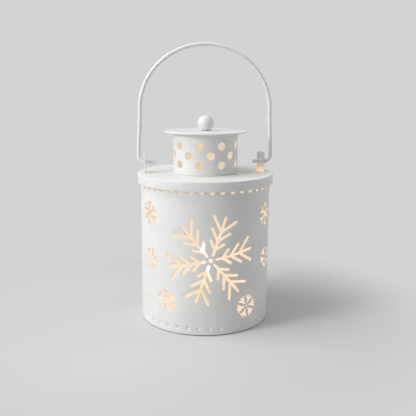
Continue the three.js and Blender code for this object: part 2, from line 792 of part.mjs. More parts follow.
// At rest the slider stands at the lit end of its travel.
function switchSlider() {
  const y = switchTravel / 2;
  const footBottom = aboveClosure + switchWall + seatGap;
  const footTop = footBottom + sliderFoot[2];
  const [footWidth, footLength] = sliderFoot;
  const [stemWidth, stemLength] = sliderStem;
  const tip = candleBottom - sliderReach;
  return joined([
    block(centred(switchX, footWidth), centred(y, footLength), [footBottom, footTop]),
    block(centred(switchX, stemWidth), centred(y, stemLength), [tip, (footBottom + footTop) / 2]),
  ]);
}

function switchTerminals() {
  return terminalPlaces.map(([x, y]) => (
    block(centred(x, terminalSize[1]), centred(y, terminalSize[0]), [switchTop + seatGap, boardTop + terminalTail])
  ));
}

const materials = {
  coat: new THREE.MeshStandardMaterial({ color: 0xeeeeec, roughness: 0.45, metalness: 0 }),
  plastic: new THREE.MeshStandardMaterial({ color: 0xf1ead8, roughness: 0.5, metalness: 0 }),
  flame: new THREE.MeshStandardMaterial({ color: 0xffe2b0, roughness: 0.35, metalness: 0 }),
  lens: new THREE.MeshStandardMaterial({ color: 0xffd890, roughness: 0.15, metalness: 0 }),
  steel: new THREE.MeshStandardMaterial({ color: 0xb9bbbc, roughness: 0.35, metalness: 1 }),
  board: new THREE.MeshStandardMaterial({ color: 0x2f6b3c, roughness: 0.6, metalness: 0 }),
  dark: new THREE.MeshStandardMaterial({ color: 0x222324, roughness: 0.55, metalness: 0 }),
};

const lantern = new THREE.Group();

function addPiece(name, solid, material) {
  const mesh = new THREE.Mesh(toGeometry(solid), material);
  mesh.name = name;
  lantern.add(mesh);
}

function addPair(name, solids, material) {
  solids.forEach((solid, i) => addPiece(`${name}_${i + 1}`, solid, material));
}

addPiece('body_shell', bodyShell(), materials.coat);
addPiece('base_plate', basePlate(), materials.coat);
addPiece('lid', lid(), materials.coat);
addPair('ear_bracket', ears.map(earBracket), materials.coat);
addPiece('chimney_drum', chimneyDrum(), materials.coat);
addPiece('chimney_cap', chimneyCap(), materials.coat);
addPiece('knob_ball', knobBall(), materials.coat);
addPiece('knob_screw', knobScrew(), materials.steel);
addPiece('bail_handle', bailHandle(), materials.coat);
addPiece('candle_housing', candleHousing(), materials.plastic);
addPiece('flame_bulb', flameBulb(), materials.flame);
addPiece('led', led(), materials.lens);
addPair('led_lead', ledLeads(), materials.steel);
addPiece('circuit_board', circuitBoard(), materials.board);
addPiece('resistor', resistor(), materials.dark);
addPiece('coin_cell', coinCell(), materials.steel);
addPiece('contact_negative', negativeContact(), materials.steel);
addPiece('contact_positive', positiveContact(), materials.steel);
addPiece('candle_closure', candleClosure(), materials.plastic);
addPiece('battery_door', batteryDoor(), materials.plastic);
addPair('closure_screw', closureScrews(), materials.steel);
addPiece('switch_housing', switchHousing(), materials.steel);
addPiece('switch_slider', switchSlider(), materials.dark);
addPair('switch_terminal', switchTerminals(), materials.steel);

export default lantern;
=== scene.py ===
import json
import math

import bmesh
import bpy
import numpy as np
from mathutils import Matrix, Vector, geometry


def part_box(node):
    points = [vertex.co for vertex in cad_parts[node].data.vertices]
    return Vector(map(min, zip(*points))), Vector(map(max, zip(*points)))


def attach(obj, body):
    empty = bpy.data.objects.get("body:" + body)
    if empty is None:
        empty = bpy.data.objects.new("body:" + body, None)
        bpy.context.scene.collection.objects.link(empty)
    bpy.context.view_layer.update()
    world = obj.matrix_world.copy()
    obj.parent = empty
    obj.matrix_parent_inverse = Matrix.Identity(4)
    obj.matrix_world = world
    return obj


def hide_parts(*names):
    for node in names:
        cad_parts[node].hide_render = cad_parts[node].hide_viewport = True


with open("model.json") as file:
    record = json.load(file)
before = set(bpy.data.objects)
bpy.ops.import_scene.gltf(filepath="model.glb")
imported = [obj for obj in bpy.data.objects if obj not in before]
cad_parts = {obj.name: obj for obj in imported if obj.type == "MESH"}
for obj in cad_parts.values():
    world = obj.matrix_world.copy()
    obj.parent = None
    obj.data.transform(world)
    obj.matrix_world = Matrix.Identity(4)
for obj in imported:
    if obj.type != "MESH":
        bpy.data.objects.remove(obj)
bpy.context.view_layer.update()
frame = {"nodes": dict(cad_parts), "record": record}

# Lengths below are millimetres and angles degrees, turned into metres where a mesh is made.
# Azimuths run from the front, -Y, towards +X.
MM = 0.001
TINY = 1e-4


def place_of(node):
    """The lowest and highest corner of a CAD node, in millimetres."""
    low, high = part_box(node)
    return low / MM, high / MM


_, body_high = place_of("body_shell")
plate_low, plate_high = place_of("base_plate")
lid_low, lid_high = place_of("lid")
drum_low, drum_high = place_of("chimney_drum")
cap_low, cap_high = place_of("chimney_cap")
knob_low, knob_high = place_of("knob_ball")
_, bail_high = place_of("bail_handle")
housing_low, housing_high = place_of("candle_housing")
closure_low, closure_high = place_of("candle_closure")
door_low, door_high = place_of("battery_door")
led_low, led_high = place_of("led")
slider_low, slider_high = place_of("switch_slider")
_, flame_high = place_of("flame_bulb")

# Clearances between pieces that rest on each other and that fit into each other
SEAT_GAP = 0.2
FIT_GAP = 0.3

# Facets of round parts, and how far the free points of a sheet's mesh stay apart and from its edges
COLUMNS = 144
STRIP_PITCH = 0.9
SEAM_CLEAR = 0.6
DIMPLE_CLEAR = 0.3

# Body
BODY_SHEET = 0.5
HEM_SHEET = 1.2
HEM_TOP = 3.0
HEM_ROUND = 0.5
FOOT_STEP = 0.9
FOOT_HEIGHT = 0.55
PUNCH_EDGE = 0.12
MOTIF_AZIMUTH = -2.8
BODY_CUT = 177
SEAM_GROOVE = 0.3
SEAM_DEPTH = 0.14
LAP_ARC = 9.1
LAP_SHEET = 0.4

# Snowflakes, each placed as (kind, azimuth, share of the body's height, first arm's heading)
LARGE_FLAKE = {
    "stroke": 1.85, "start": 3.0, "tip": 30.65,
    "junctions": (7.6, 13.6, 20.0), "branches": (7.7, 10.2, 12.85), "angle": 42.5, "dot": 1.5,
}
FORK_FLAKE = {
    "stroke": 2, "start": None, "tip": None,
    "junctions": (5,), "branches": (3.6,), "angle": 38, "dot": 0,
}
PETAL_FLAKE = {
    "stroke": 1.4, "start": 2, "tip": 8.2,
    "junctions": (4.3,), "branches": (4,), "angle": 42, "dot": 0.6,
}
FLAKES = (
    (LARGE_FLAKE, -0.3, 0.5045, 11),
    (FORK_FLAKE, -61, 0.771, 30),
    (PETAL_FLAKE, -58.5, 0.469, 2),
    (FORK_FLAKE, -39.8, 0.214, 30),
    (PETAL_FLAKE, 33.6, 0.172, 8),
    (FORK_FLAKE, 60.4, 0.757, 30),
    (PETAL_FLAKE, 62.4, 0.461, 12),
    (FORK_FLAKE, -104, 0.214, 30),
    (FORK_FLAKE, 104, 0.214, 30),
    (PETAL_FLAKE, -98, 0.535, 7),
    (PETAL_FLAKE, 98, 0.535, 7),
    (FORK_FLAKE, -134, 0.778, 30),
    (FORK_FLAKE, 134, 0.778, 30),
)
TOP_HOLES = {"count": 41, "radius": 1.75, "phase": 0.4, "height": body_high.z - 6.2}
DIMPLES = {"count": 39, "radius": 0.3, "phase": -0.9, "height": plate_high.z + 1.1}
DIMPLE_REACH = 1.5
DIMPLE_RINGS = (0.6, 0.8, 1.0)
DIMPLE_SIDES = 14
DIMPLE_DEPTH = 0.65

# Chimney
DRUM_SHEET = 0.5
DRUM_ROUND = 0.42
DRUM_CUT = 170.7
DRUM_ROWS = ((0.246, -16.5), (0.482, 3.5), (0.717, -16.5))
DRUM_HOLES = {"count": 9, "radius": 2.7}

# Lid
LID_SHEET = 0.6
LID_TOP = drum_low.z - SEAT_GAP
LID_UNDER = LID_TOP - LID_SHEET
LID_BEND = 1.3
COLLAR_OUTER = drum_high.x - DRUM_SHEET - FIT_GAP
COLLAR_INNER = COLLAR_OUTER - LID_SHEET
LIP_INNER = body_high.x + FIT_GAP

# Ear brackets
EAR_SHEET = 0.6
EAR_WIDTH = 8
EAR_HEIGHT = 14
EAR_CORNER = 1.5
EAR_HOLE = 2.1
EAR_BEND = 0.6
EAR_EDGE = 0.15
EAR_FOOT = 3.7
# The foot stays clear of the chords of a wall that has this many flat sides
EAR_WALL_SIDES = 48
SLOT_REACH = 4
PIVOT_RISE = 7.2
PIVOT = LID_TOP + PIVOT_RISE
EARS = (
    {"node": "ear_bracket_1", "side": -1, "inset": 4.8, "twist": 0},
    {"node": "ear_bracket_2", "side": 1, "inset": 7.5, "twist": 27},
)

# Cap and knob
CAP_SHEET = 1
CAP_EDGE = 0.5
LUG_SHEET = 0.5
LUG_ARC = 50
KNOB_FLAT = 2.75
KNOB_BORE = 6.3
SCREW_RADIUS = 1.4

# Bail
WIRE = 1.35
LEG_SPREAD = bail_high.x - WIRE
LEG_SPLAY = 1.2
HOOK_LENGTH = 12.5
HOOK_BEND = 4.2
ARCH_RISE = 43.25

# Candle unit
CANDLE_RADIUS = 19
CANDLE_WALL = 1.2
CANDLE_INNER = CANDLE_RADIUS - CANDLE_WALL
CANDLE_SHOULDER = 1.6
DISH = 1.1
DISH_RIM = 2.5
DISH_SLOPE = 4.5
CLIP_TURNS = (30, 150, 270)
CLIP_ARC = 15
CLIP_ROOT = 0.6
CLIP_STEP = 0.9
CLIP_EDGE = 0.5
CLIP_HEIGHT = 1.5
BOSS_TURNS = (55, -55)
BOSS_RADIUS = 2.3
BOSS_BORE = 1.05
BOSS_HEIGHT = 4.9
BOSS_PLACE = CANDLE_INNER - 1.9
DOOR_X = (door_low.x + door_high.x) / 2
DOOR_RADIUS = door_high.x - DOOR_X
DOOR_TURN = 40
DOOR_RIM = 0.9
LUG_WIDTH = 4
LUG_HEIGHT = 0.7
COIN_SLOT = (12, 1.8)
COIN_SLOT_DEPTH = 0.6
SCREW_HEAD = 1.8
SCREW_HEAD_HEIGHT = 0.7
SCREW_LENGTH = 5.5
SCREW_SHANK = 0.9
SCREW_FLAT = 1.15
SCREW_TAPER = 0.6
CROSS_REACH = 0.8
CROSS_HALF = 0.16
CROSS_DEPTH = 0.45
SWITCH_TRAVEL = 2.4
SLIDER_TIP = 2
SLIDER_FOOT = 1.5
SLIDER_HALF = 0.65
RIB_PITCH = 0.5
RIB_DEPTH = 0.22

# Flame, with its radius at shares of its height
FLAME_X = (led_low.x + led_high.x) / 2
FLAME_HOLE = 2.8
FLAME_RADIUS = 3.9
FLAME_NECK = 2.5
FLAME_FLANGE = 4.6
FLAME_BORE = 1.8
FLAME_WALL = 0.7
FLAME_HOLLOW = 0.8
FLAME_LEAN = 5.4
LEAN_START = 0.18
LEAN_RUN = 0.61
FLAME_SHARES = (
    (0, FLAME_NECK), (0.14, 0.66 * FLAME_RADIUS), (0.28, 0.84 * FLAME_RADIUS), (0.43, FLAME_RADIUS),
    (0.57, 0.92 * FLAME_RADIUS), (0.71, 0.74 * FLAME_RADIUS), (0.86, 0.46 * FLAME_RADIUS),
    (0.96, 0.2 * FLAME_RADIUS), (1, 0),
)

# Light of the flame; and the painted glow, a warm emission that stands in for its light inside the body, in
# the chimney, on the tub and on the ear by its slot, with the heights over which it fades out
FLAME_STRENGTH = 3.0
FLAME_BRIGHT = (1.0, 0.87, 0.64)
FLAME_DIM = (0.34, 0.25, 0.18)
FLAME_ZONES = (0.35, 0.0, 1.0)
INNER_PAINTED_GLOW = 0.27
CHIMNEY_PAINTED_GLOW = 0.26
EAR_PAINTED_GLOW = 0.6
TUB_PAINTED_GLOW = 0.24
PAINTED_GLOW_COLOUR = (1.0, 0.76, 0.52)
VENT_PAINTED_GLOW_COLOUR = (1.0, 0.70, 0.42)
SLOT_PAINTED_GLOW_COLOUR = (1.0, 0.60, 0.26)
INNER_PAINTED_GLOW_FADE = (50, 170)
EAR_PAINTED_GLOW_FADE = (LID_TOP, LID_TOP + 7)

# Tones of the coat and of the ivory plastic, and a lighter copy of the coat's tones for the wire: painted
# light that brightens the thin wire
COAT_TONES = ((0.80, 0.80, 0.79), (0.85, 0.85, 0.845))
WIRE_PAINTED_LIGHTER_TONES = ((0.84, 0.84, 0.83), (0.89, 0.89, 0.885))
IVORY_TONES = ((0.82, 0.78, 0.68), (0.87, 0.83, 0.74))

# Camera, light and surroundings; lamps and the floor's fade are in metres
FOCAL_PIXELS = 610.47
FRAME_PIXELS = 416
SENSOR_MM = 36.0
CAMERA_AZIMUTH = -8.5
CAMERA_DISTANCE = 424.75
CAMERA_SIDE = 2.1
CAMERA_HEIGHT = 163.72
CAMERA_PITCH = 11.455
CAMERA_ROLL = 0.451
LAMPS = (
    {"name": "low key", "energy": 4.5, "size": 0.3, "azimuth": -60, "elevation": 23},
    {"name": "high key", "energy": 3.55, "size": 0.5, "azimuth": -80, "elevation": 58},
    {"name": "top", "energy": 2.4, "size": 0.8, "azimuth": -40, "elevation": 85},
    {"name": "rim", "energy": 1.65, "size": 0.5, "azimuth": 105, "elevation": 25},
)
LAMP_DISTANCE = 1.0
LAMP_AIM = 0.6
WORLD_STRENGTH = 0.235
BACKDROP_GREY = 0.65
FLOOR_GREY = 0.665
FLOOR_HALF = 3.0
FADE_START = 0.1
FADE_END = 0.19


# Shapes that are punched out of a sheet


def unit(angle):
    return np.array((math.cos(angle), math.sin(angle)))


class Stroke:
    """A straight stroke with round ends, or a round hole where both ends are one point."""

    def __init__(self, start, end, half):
        self.start = np.array(start, float)
        self.end = np.array(end, float)
        self.half = half

    def outline(self, grow):
        reach = self.half + grow
        steps = max(8, round(6 * self.half))
        u, w = self.end - self.start
        heading = math.atan2(w, u)
        points = []
        for centre, turn in ((self.end, -0.5), (self.start, 0.5)):
            angles = (heading + math.pi * (turn + (i + 0.5) / steps) for i in range(steps))
            points += [centre + reach * unit(angle) for angle in angles]
        return points

    def distance(self, points):
        along = self.end - self.start
        length = max(along @ along, TINY)
        share = np.clip((points - self.start) @ along / length, 0, 1)
        return np.linalg.norm(points - self.start - share[:, None] * along, axis=1) - self.half


def hole(place, radius):
    return Stroke(place, place, radius)


class Slot:
    """A rectangle with round corners."""

    def __init__(self, centre, size, corner):
        self.centre = np.array(centre, float)
        self.half = np.array(size, float) / 2
        self.corner = corner

    def outline(self, grow):
        core = self.half - self.corner
        points = []
        for quarter, signs in enumerate(((1, 1), (-1, 1), (-1, -1), (1, -1))):
            angles = (math.pi / 2 * (quarter + i / 5) for i in range(6))
            points += [self.centre + core * signs + (self.corner + grow) * unit(angle) for angle in angles]
        return points

    def distance(self, points):
        over = np.abs(points - self.centre) - self.half + self.corner
        outside = np.linalg.norm(np.maximum(over, 0), axis=1)
        return outside + np.minimum(over.max(axis=1), 0) - self.corner


def distance_to(shapes, points):
    """How far points lie outside the nearest of the punched shapes."""
    nearest = np.full(len(points), 1e3)
    for shape in shapes:
        nearest = np.minimum(nearest, shape.distance(points))
    return nearest


def chamfer_at(shapes, points, edge):
    """How far a sheet's face is set back at points near its punched shapes."""
    return np.clip(edge - distance_to(shapes, points), 0, edge)


def lattice(middle, half, pitch, rise=1):
    """Places in even staggered rows about a middle, a little past a half width and height."""
    across, along = (math.ceil(size / pitch) + 1 for size in half)
    return np.array([
        middle + pitch * np.array((i + (j % 2) / 2, rise * j))
        for i in range(-across, across + 1) for j in range(-along, along + 1)
    ])


def triangulate(loops, lines, spread, shapes, edge):
    """Points of a flat sheet with its loops and lines as edges, the triangles between them that stay,
    and those that its shapes cut out."""
    coords = []
    edges = []

    def add(points, closed):
        first = len(coords)
        last = first + len(points) - 1
        coords.extend(points)
        edges.extend((i, i + 1) for i in range(first, last))
        if closed:
            edges.append((last, first))

    for loop in loops:
        add(loop, True)
    for line in lines:
        add(line, False)
    for shape in shapes:
        add(shape.outline(0), True)
        add(shape.outline(edge), True)
    spread = np.array(spread)
    coords.extend(spread[distance_to(shapes, spread) > 4 * edge])
    found = geometry.delaunay_2d_cdt([Vector(point) for point in coords], edges, [], 0, 1e-6)
    points = np.array([tuple(point) for point in found[0]])
    triangles = np.array(found[2])
    cut_out = distance_to(shapes, points[triangles].mean(axis=1)) < 0
    return points, triangles[~cut_out], triangles[cut_out]


def open_edges(triangles):
    """The directed edges that only one triangle has."""
    edges = {(int(t[i]), int(t[(i + 1) % 3])) for t in triangles for i in range(3)}
    return [(a, b) for a, b in edges if (b, a) not in edges]


# Vertices and faces


def band(lower, upper):
    """Faces between two closed rows of vertices."""
    count = len(lower)
    faces = []
    for i in range(count):
        j = (i + 1) % count
        faces.append(list(dict.fromkeys((lower[i], lower[j], upper[j], upper[i]))))
    return [face for face in faces if len(face) > 2]


def bands(rows):
    """Faces between each row of vertices and the next."""
    return [face for one, other in zip(rows, rows[1:]) for face in band(one, other)]


def even_angles(count):
    return [2 * math.pi * i / count for i in range(count)]


def circle(centre, radius, count):
    return [(centre[0] + radius * math.cos(a), centre[1] + radius * math.sin(a)) for a in even_angles(count)]


def add_rings(vertices, profile, headings, middle=(0, 0)):
    """Adds a ring of vertices for each (radius, height) of a profile and returns their indices."""
    rows = []
    for radius, height in profile:
        first = len(vertices)
        if radius < TINY:
            vertices.append((*middle, height))
            rows.append([first] * len(headings))
        else:
            vertices.extend((*(middle + radius * unit(heading)), height) for heading in headings)
            rows.append(list(range(first, first + len(headings))))
    return rows


def lathe(outline, count=COLUMNS):
    """A closed outline of (radius, height) turned about the Z axis."""
    vertices = []
    rows = add_rings(vertices, outline, even_angles(count))
    return vertices, bands([*rows, rows[0]])


def rounded(outline, radius, steps=4, closed=True):
    """An outline with its corners off the axis rounded, each by its own third value where it has one."""
    points = [np.array(point[:2], float) for point in outline]
    radii = [point[2] if len(point) > 2 else radius for point in outline]
    result = []
    for i, corner in enumerate(points):
        ends = not closed and i in (0, len(points) - 1)
        if ends or corner[0] < TINY:
            result.append(tuple(corner))
            continue
        before = points[i - 1] - corner
        after = points[(i + 1) % len(points)] - corner
        reach = min(radii[i], 0.49 * np.linalg.norm(before), 0.49 * np.linalg.norm(after))
        start = corner + before * reach / np.linalg.norm(before)
        end = corner + after * reach / np.linalg.norm(after)
        for k in range(steps + 1):
            t = k / steps
            result.append(tuple((1 - t) ** 2 * start + 2 * t * (1 - t) * corner + t * t * end))
    return result


def rectangle(inner, outer, low, high):
    """The outline of a ring's section."""
    return [(inner, low), (outer, low), (outer, high), (inner, high)]


def swept(vertices, count):
    """Rows of a count of vertices each, joined one to the next and closed at both ends."""
    rows = [list(range(first, first + count)) for first in range(0, len(vertices), count)]
    return vertices, [*bands(rows), rows[0], rows[-1]]


def sector(outline, start, end, steps):
    """A closed outline of (radius, height) swept between two azimuths."""
    azimuths = [math.radians(start + (end - start) * i / steps) for i in range(steps + 1)]
    vertices = [(r * math.sin(a), -r * math.cos(a), z) for a in azimuths for r, z in outline]
    return swept(vertices, len(outline))


def tube(path, radii, count=24):
    """A round wire along a path in the XZ plane, with a radius at each point and closed ends."""
    vertices = []
    for i, (x, z) in enumerate(path):
        before = path[max(i - 1, 0)]
        after = path[min(i + 1, len(path) - 1)]
        heading = math.atan2(after[1] - before[1], after[0] - before[0])
        for angle in even_angles(count):
            out, side = radii[i] * unit(angle)
            vertices.append((x - out * math.sin(heading), side, z + out * math.cos(heading)))
    return swept(vertices, count)


def bent_sheet(blank, holes, lines, lay, sheet, edge):
    """A flat blank with holes, laid along a bent middle surface, with its edges rounded off."""
    spread = lattice(blank.centre, blank.half, STRIP_PITCH)
    spread = spread[blank.distance(spread) < -3 * edge]
    points, kept, _ = triangulate([blank.outline(0), blank.outline(-edge)], lines, spread, holes, edge)
    kept = kept[blank.distance(points[kept].mean(axis=1)) < 0]
    inside = np.minimum(-blank.distance(points), distance_to(holes, points))
    thin = np.clip(edge - inside, 0, edge)
    small = 0.01
    vertices = []
    for side in (1, -1):
        for (s, w), less in zip(points, thin):
            along = np.subtract(lay(s + small, w), lay(s - small, w))
            across = np.subtract(lay(s, w + small), lay(s, w - small))
            normal = np.cross(along, across)
            normal /= np.linalg.norm(normal)
            vertices.append(tuple(np.array(lay(s, w)) + side * (sheet / 2 - less) * normal))
    count = len(points)
    faces = kept.tolist()
    faces += [[i + count for i in reversed(t)] for t in faces]
    faces += [[b, a, a + count, b + count] for a, b in open_edges(kept)]
    return vertices, faces


def merged(*parts):
    """Several vertex and face lists as one."""
    vertices = []
    faces = []
    for part_vertices, part_faces in parts:
        first = len(vertices)
        vertices += part_vertices
        faces += [[first + i for i in face] for face in part_faces]
    return vertices, faces


def moved(part, x=0, y=0):
    vertices, faces = part
    return [(vx + x, vy + y, vz) for vx, vy, vz in vertices], faces


# Objects


def make_object(name, vertices, faces, material, sharp):
    """A mesh object from millimetres, with its faces turned outwards and its sharp edges kept."""
    mesh = bpy.data.meshes.new(name)
    mesh.from_pydata([tuple(MM * c for c in vertex) for vertex in vertices], [], faces)
    built = bmesh.new()
    built.from_mesh(mesh)
    loose = [vertex for vertex in built.verts if not vertex.link_faces]
    bmesh.ops.delete(built, geom=loose, context="VERTS")
    bmesh.ops.recalc_face_normals(built, faces=built.faces)
    built.to_mesh(mesh)
    built.free()
    mesh.polygons.foreach_set("use_smooth", [True] * len(mesh.polygons))
    mesh.set_sharp_from_angle(angle=math.radians(sharp))
    mesh.materials.append(material)
    return add_object(name, mesh)


def add_object(name, data):
    made = bpy.data.objects.new(name, data)
    bpy.context.scene.collection.objects.link(made)
    return made


def add_piece(name, part, node=None, body="root", slot="white_coat", material=None, sharp=32):
    """A piece that rides on a body with a slot's finish, in place of a CAD node where one is named."""
    made = make_object(name, *part, material or SLOT_MATERIALS[slot], sharp)
    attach(made, body)
    if node:
        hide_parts(node)
    return made


def paint(piece, material, chosen):
    """Gives a material to the faces that a test of their middle, in millimetres, and normal chooses."""
    piece.data.materials.append(material)
    index = len(piece.data.materials) - 1
    for face in piece.data.polygons:
        if chosen(face.center / MM, face.normal):
            face.material_index = index


def looks_in(place, normal):
    return place.x * normal.x + place.y * normal.y < 0


# Materials


def new_material(name):
    """A material with its node tree, its shader and the place on the object."""
    material = bpy.data.materials.new(name)
    material.use_nodes = True
    tree = material.node_tree
    place = add_node(tree, "ShaderNodeTexCoord", {}).outputs["Object"]
    return material, tree, tree.nodes["Principled BSDF"], place


def fill(tree, node, inputs):
    """Sets a node's inputs; each is a value or another node's output."""
    for key, value in inputs.items():
        if isinstance(value, bpy.types.NodeSocket):
            tree.links.new(value, node.inputs[key])
        else:
            node.inputs[key].default_value = value


def add_node(tree, kind, inputs, **settings):
    node = tree.nodes.new(kind)
    for key, value in settings.items():
        setattr(node, key, value)
    fill(tree, node, inputs)
    return node


def noise(tree, place, scale, detail=3.0):
    node = add_node(tree, "ShaderNodeTexNoise", {"Vector": place, "Scale": scale, "Detail": detail})
    return node.outputs["Fac"]


def ramp(tree, value, stops):
    """Colours along a value, as (position, colour) stops."""
    node = add_node(tree, "ShaderNodeValToRGB", {"Fac": value})
    elements = node.color_ramp.elements
    while len(elements) < len(stops):
        elements.new(0.5)
    for element, (position, colour) in zip(elements, stops):
        element.position = position
        element.color = (*colour, 1)
    return node.outputs["Color"]


def blend(tree, value, low, high):
    """A colour that goes from one to another over the middle of a noise."""
    return ramp(tree, value, ((0.3, low), (0.7, high)))


def bump(tree, height, strength, depth):
    """A fine relief, as a normal; its depth is in millimetres."""
    node = add_node(tree, "ShaderNodeBump", {"Height": height, "Strength": strength, "Distance": MM * depth})
    return node.outputs["Normal"]


def map_range(tree, value, low, high, start=0.0, end=1.0, **settings):
    node = add_node(tree, "ShaderNodeMapRange", {
        "Value": value, "From Min": low, "From Max": high, "To Min": start, "To Max": end,
    }, **settings)
    return node.outputs["Result"]


def combine(tree, operation, one, other):
    return add_node(tree, "ShaderNodeMath", {0: one, 1: other}, operation=operation).outputs[0]


def grey(value):
    return (value, value, value)


def coat_material(name, glow=0, glow_hue=PAINTED_GLOW_COLOUR, fade=None, tones=COAT_TONES):
    """White powder coat: a fine orange peel and faint mottling. A glow is painted light, an emission that
    stands in for the flame's light on it, which may fade out between two heights."""
    material, tree, shader, place = new_material(name)
    fill(tree, shader, {
        "Base Color": blend(tree, noise(tree, place, 45.0, 4.0), *tones),
        "Roughness": blend(tree, noise(tree, place, 160.0), grey(0.36), grey(0.46)),
        "Normal": bump(tree, noise(tree, place, 1300.0, 2.0), 0.1, 0.05),
        "Specular IOR Level": 0.15 if glow else 0.5,
    })
    if glow:
        fill(tree, shader, {"Emission Color": (*glow_hue, 1), "Emission Strength": glow})
    if fade:
        height = add_node(tree, "ShaderNodeSeparateXYZ", {"Vector": place}).outputs["Z"]
        low, high = fade
        fill(tree, shader, {"Emission Strength": map_range(tree, height, MM * low, MM * high, glow, 0.0)})
    return material


def plastic_material(name, dark, light, roughness, glow=0):
    """Moulded plastic: two close colours, a satin skin, a fine moulded grain, and a glow that is painted
    light, an emission standing in for the flame's light.
    """
    material, tree, shader, place = new_material(name)
    low, high = grey(roughness - 0.06), grey(roughness + 0.08)
    fill(tree, shader, {
        "Base Color": blend(tree, noise(tree, place, 60.0), dark, light),
        "Roughness": blend(tree, noise(tree, place, 220.0), low, high),
        "Normal": bump(tree, noise(tree, place, 2400.0, 2.0), 0.15, 0.1),
        "Emission Color": (*PAINTED_GLOW_COLOUR, 1),
        "Emission Strength": glow,
    })
    return material


def steel_material(name, dark, light, roughness):
    """Plated steel: fine streaks in its gloss and a faint change of tone."""
    material, tree, shader, place = new_material(name)
    streaks = add_node(tree, "ShaderNodeMapping", {"Vector": place, "Scale": (300.0, 300.0, 2200.0)})
    drawn = noise(tree, streaks.outputs["Vector"], 1.0, 2.0)
    low, high = grey(roughness - 0.08), grey(roughness + 0.1)
    fill(tree, shader, {
        "Base Color": blend(tree, noise(tree, place, 90.0, 5.0), dark, light),
        "Roughness": blend(tree, drawn, low, high),
        "Normal": bump(tree, drawn, 0.1, 0.05),
        "Metallic": 1.0,
    })
    return material


def flame_material():
    """Frosted flame with a white glow above the LED and another towards its tip, and warm zones between."""
    material, tree, shader, place = new_material("frosted flame")
    along = add_node(tree, "ShaderNodeVectorMath", {0: place, 1: FLAME_ZONES}, operation="DOT_PRODUCT")
    share = map_range(tree, along.outputs["Value"], MM * housing_high.z, MM * flame_high.z)
    colour = ramp(tree, share, (
        (0.28, FLAME_DIM), (0.32, FLAME_BRIGHT), (0.43, FLAME_BRIGHT), (0.46, FLAME_DIM),
        (0.74, FLAME_DIM), (0.83, FLAME_BRIGHT),
    ))
    fill(tree, shader, {
        "Base Color": colour,
        "Emission Color": colour,
        "Emission Strength": FLAME_STRENGTH,
        "Roughness": 0.5,
        "Normal": bump(tree, noise(tree, place, 900.0, 2.0), 0.2, 0.1),
    })
    return material


def lens_material():
    """Amber epoxy of the LED, lit from its chip."""
    material, tree, shader, place = new_material("amber lens")
    colour = blend(tree, noise(tree, place, 300.0), (1.0, 0.62, 0.22), (1.0, 0.72, 0.34))
    fill(tree, shader, {
        "Base Color": colour, "Emission Color": colour, "Emission Strength": 3.0, "Roughness": 0.12,
    })
    return material


def board_material():
    """Green solder mask with a fibre weave under it and darker joints between its threads."""
    material, tree, shader, place = new_material("board laminate")
    weave = add_node(tree, "ShaderNodeTexBrick", {
        "Vector": place, "Scale": 400.0, "Color1": (0.03, 0.16, 0.06, 1), "Color2": (0.04, 0.2, 0.08, 1),
        "Mortar": (0.02, 0.12, 0.05, 1), "Mortar Size": 0.03,
    })
    fill(tree, shader, {
        "Base Color": weave.outputs["Color"],
        "Roughness": 0.35,
        "Normal": bump(tree, weave.outputs["Fac"], 0.1, 0.05),
    })
    return material


SLOT_MATERIALS = {
    "white_coat": coat_material("white coat"),
    "zinc_steel": steel_material("zinc steel", (0.50, 0.51, 0.53), (0.60, 0.61, 0.62), 0.34),
    "candle_plastic": plastic_material("candle plastic", *IVORY_TONES, 0.45),
    "flame_plastic": flame_material(),
    "led_lens": lens_material(),
    "contact_steel": steel_material("nickel steel", (0.56, 0.55, 0.53), (0.66, 0.65, 0.62), 0.26),
    "board_laminate": board_material(),
    "dark_plastic": plastic_material("dark plastic", (0.02, 0.02, 0.022), (0.035, 0.035, 0.037), 0.5),
}
# Copies of the coat and of the candle plastic with a painted glow: warm emission that stands in for the
# flame's light
glow_painted_coat = coat_material("white coat with painted glow inside", INNER_PAINTED_GLOW, PAINTED_GLOW_COLOUR, INNER_PAINTED_GLOW_FADE)
chimney_glow_painted_coat = coat_material("white coat with painted glow in the chimney", CHIMNEY_PAINTED_GLOW, VENT_PAINTED_GLOW_COLOUR)
ear_glow_painted_coat = coat_material("white coat with painted glow by a slot", EAR_PAINTED_GLOW, SLOT_PAINTED_GLOW_COLOUR, EAR_PAINTED_GLOW_FADE)
# A lighter copy of the coat for the wire: painted light
wire_coat_painted_lighter = coat_material("white coat on wire, painted lighter", tones=WIRE_PAINTED_LIGHTER_TONES)
# Near-black steel for the body's foot: a painted contact shadow
painted_contact_shadow = steel_material("near-black painted contact shadow", grey(0.03), grey(0.05), 0.5)
# Candle plastic with a painted glow that stands in for the flame's light
glow_painted_plastic = plastic_material("candle plastic with painted glow", *IVORY_TONES, 0.45, TUB_PAINTED_GLOW)


# Rolled walls


def flake_strokes(flake, u, w, first_arm):
    """The strokes of a snowflake about a place on the unrolled wall."""
    half = flake["stroke"] / 2
    middle = np.array((u, w))
    strokes = []
    for arm in range(6):
        heading = math.radians(first_arm + 60 * arm)
        along = unit(heading)
        start = 0 if flake["start"] is None else flake["start"] + half
        end = flake["junctions"][-1] if flake["tip"] is None else flake["tip"] - half
        strokes.append(Stroke(middle + start * along, middle + end * along, half))
        for junction, length in zip(flake["junctions"], flake["branches"]):
            root = middle + junction * along
            for side in (-1, 1):
                away = (length - half) * unit(heading + side * math.radians(flake["angle"]))
                strokes.append(Stroke(root, root + away, half))
    if flake["dot"]:
        strokes.append(hole(middle, flake["dot"]))
    return strokes


def unrolled(azimuth, cut, radius):
    """The distance round the wall from its cut to an azimuth."""
    return radius * math.radians((azimuth - cut) % 360)


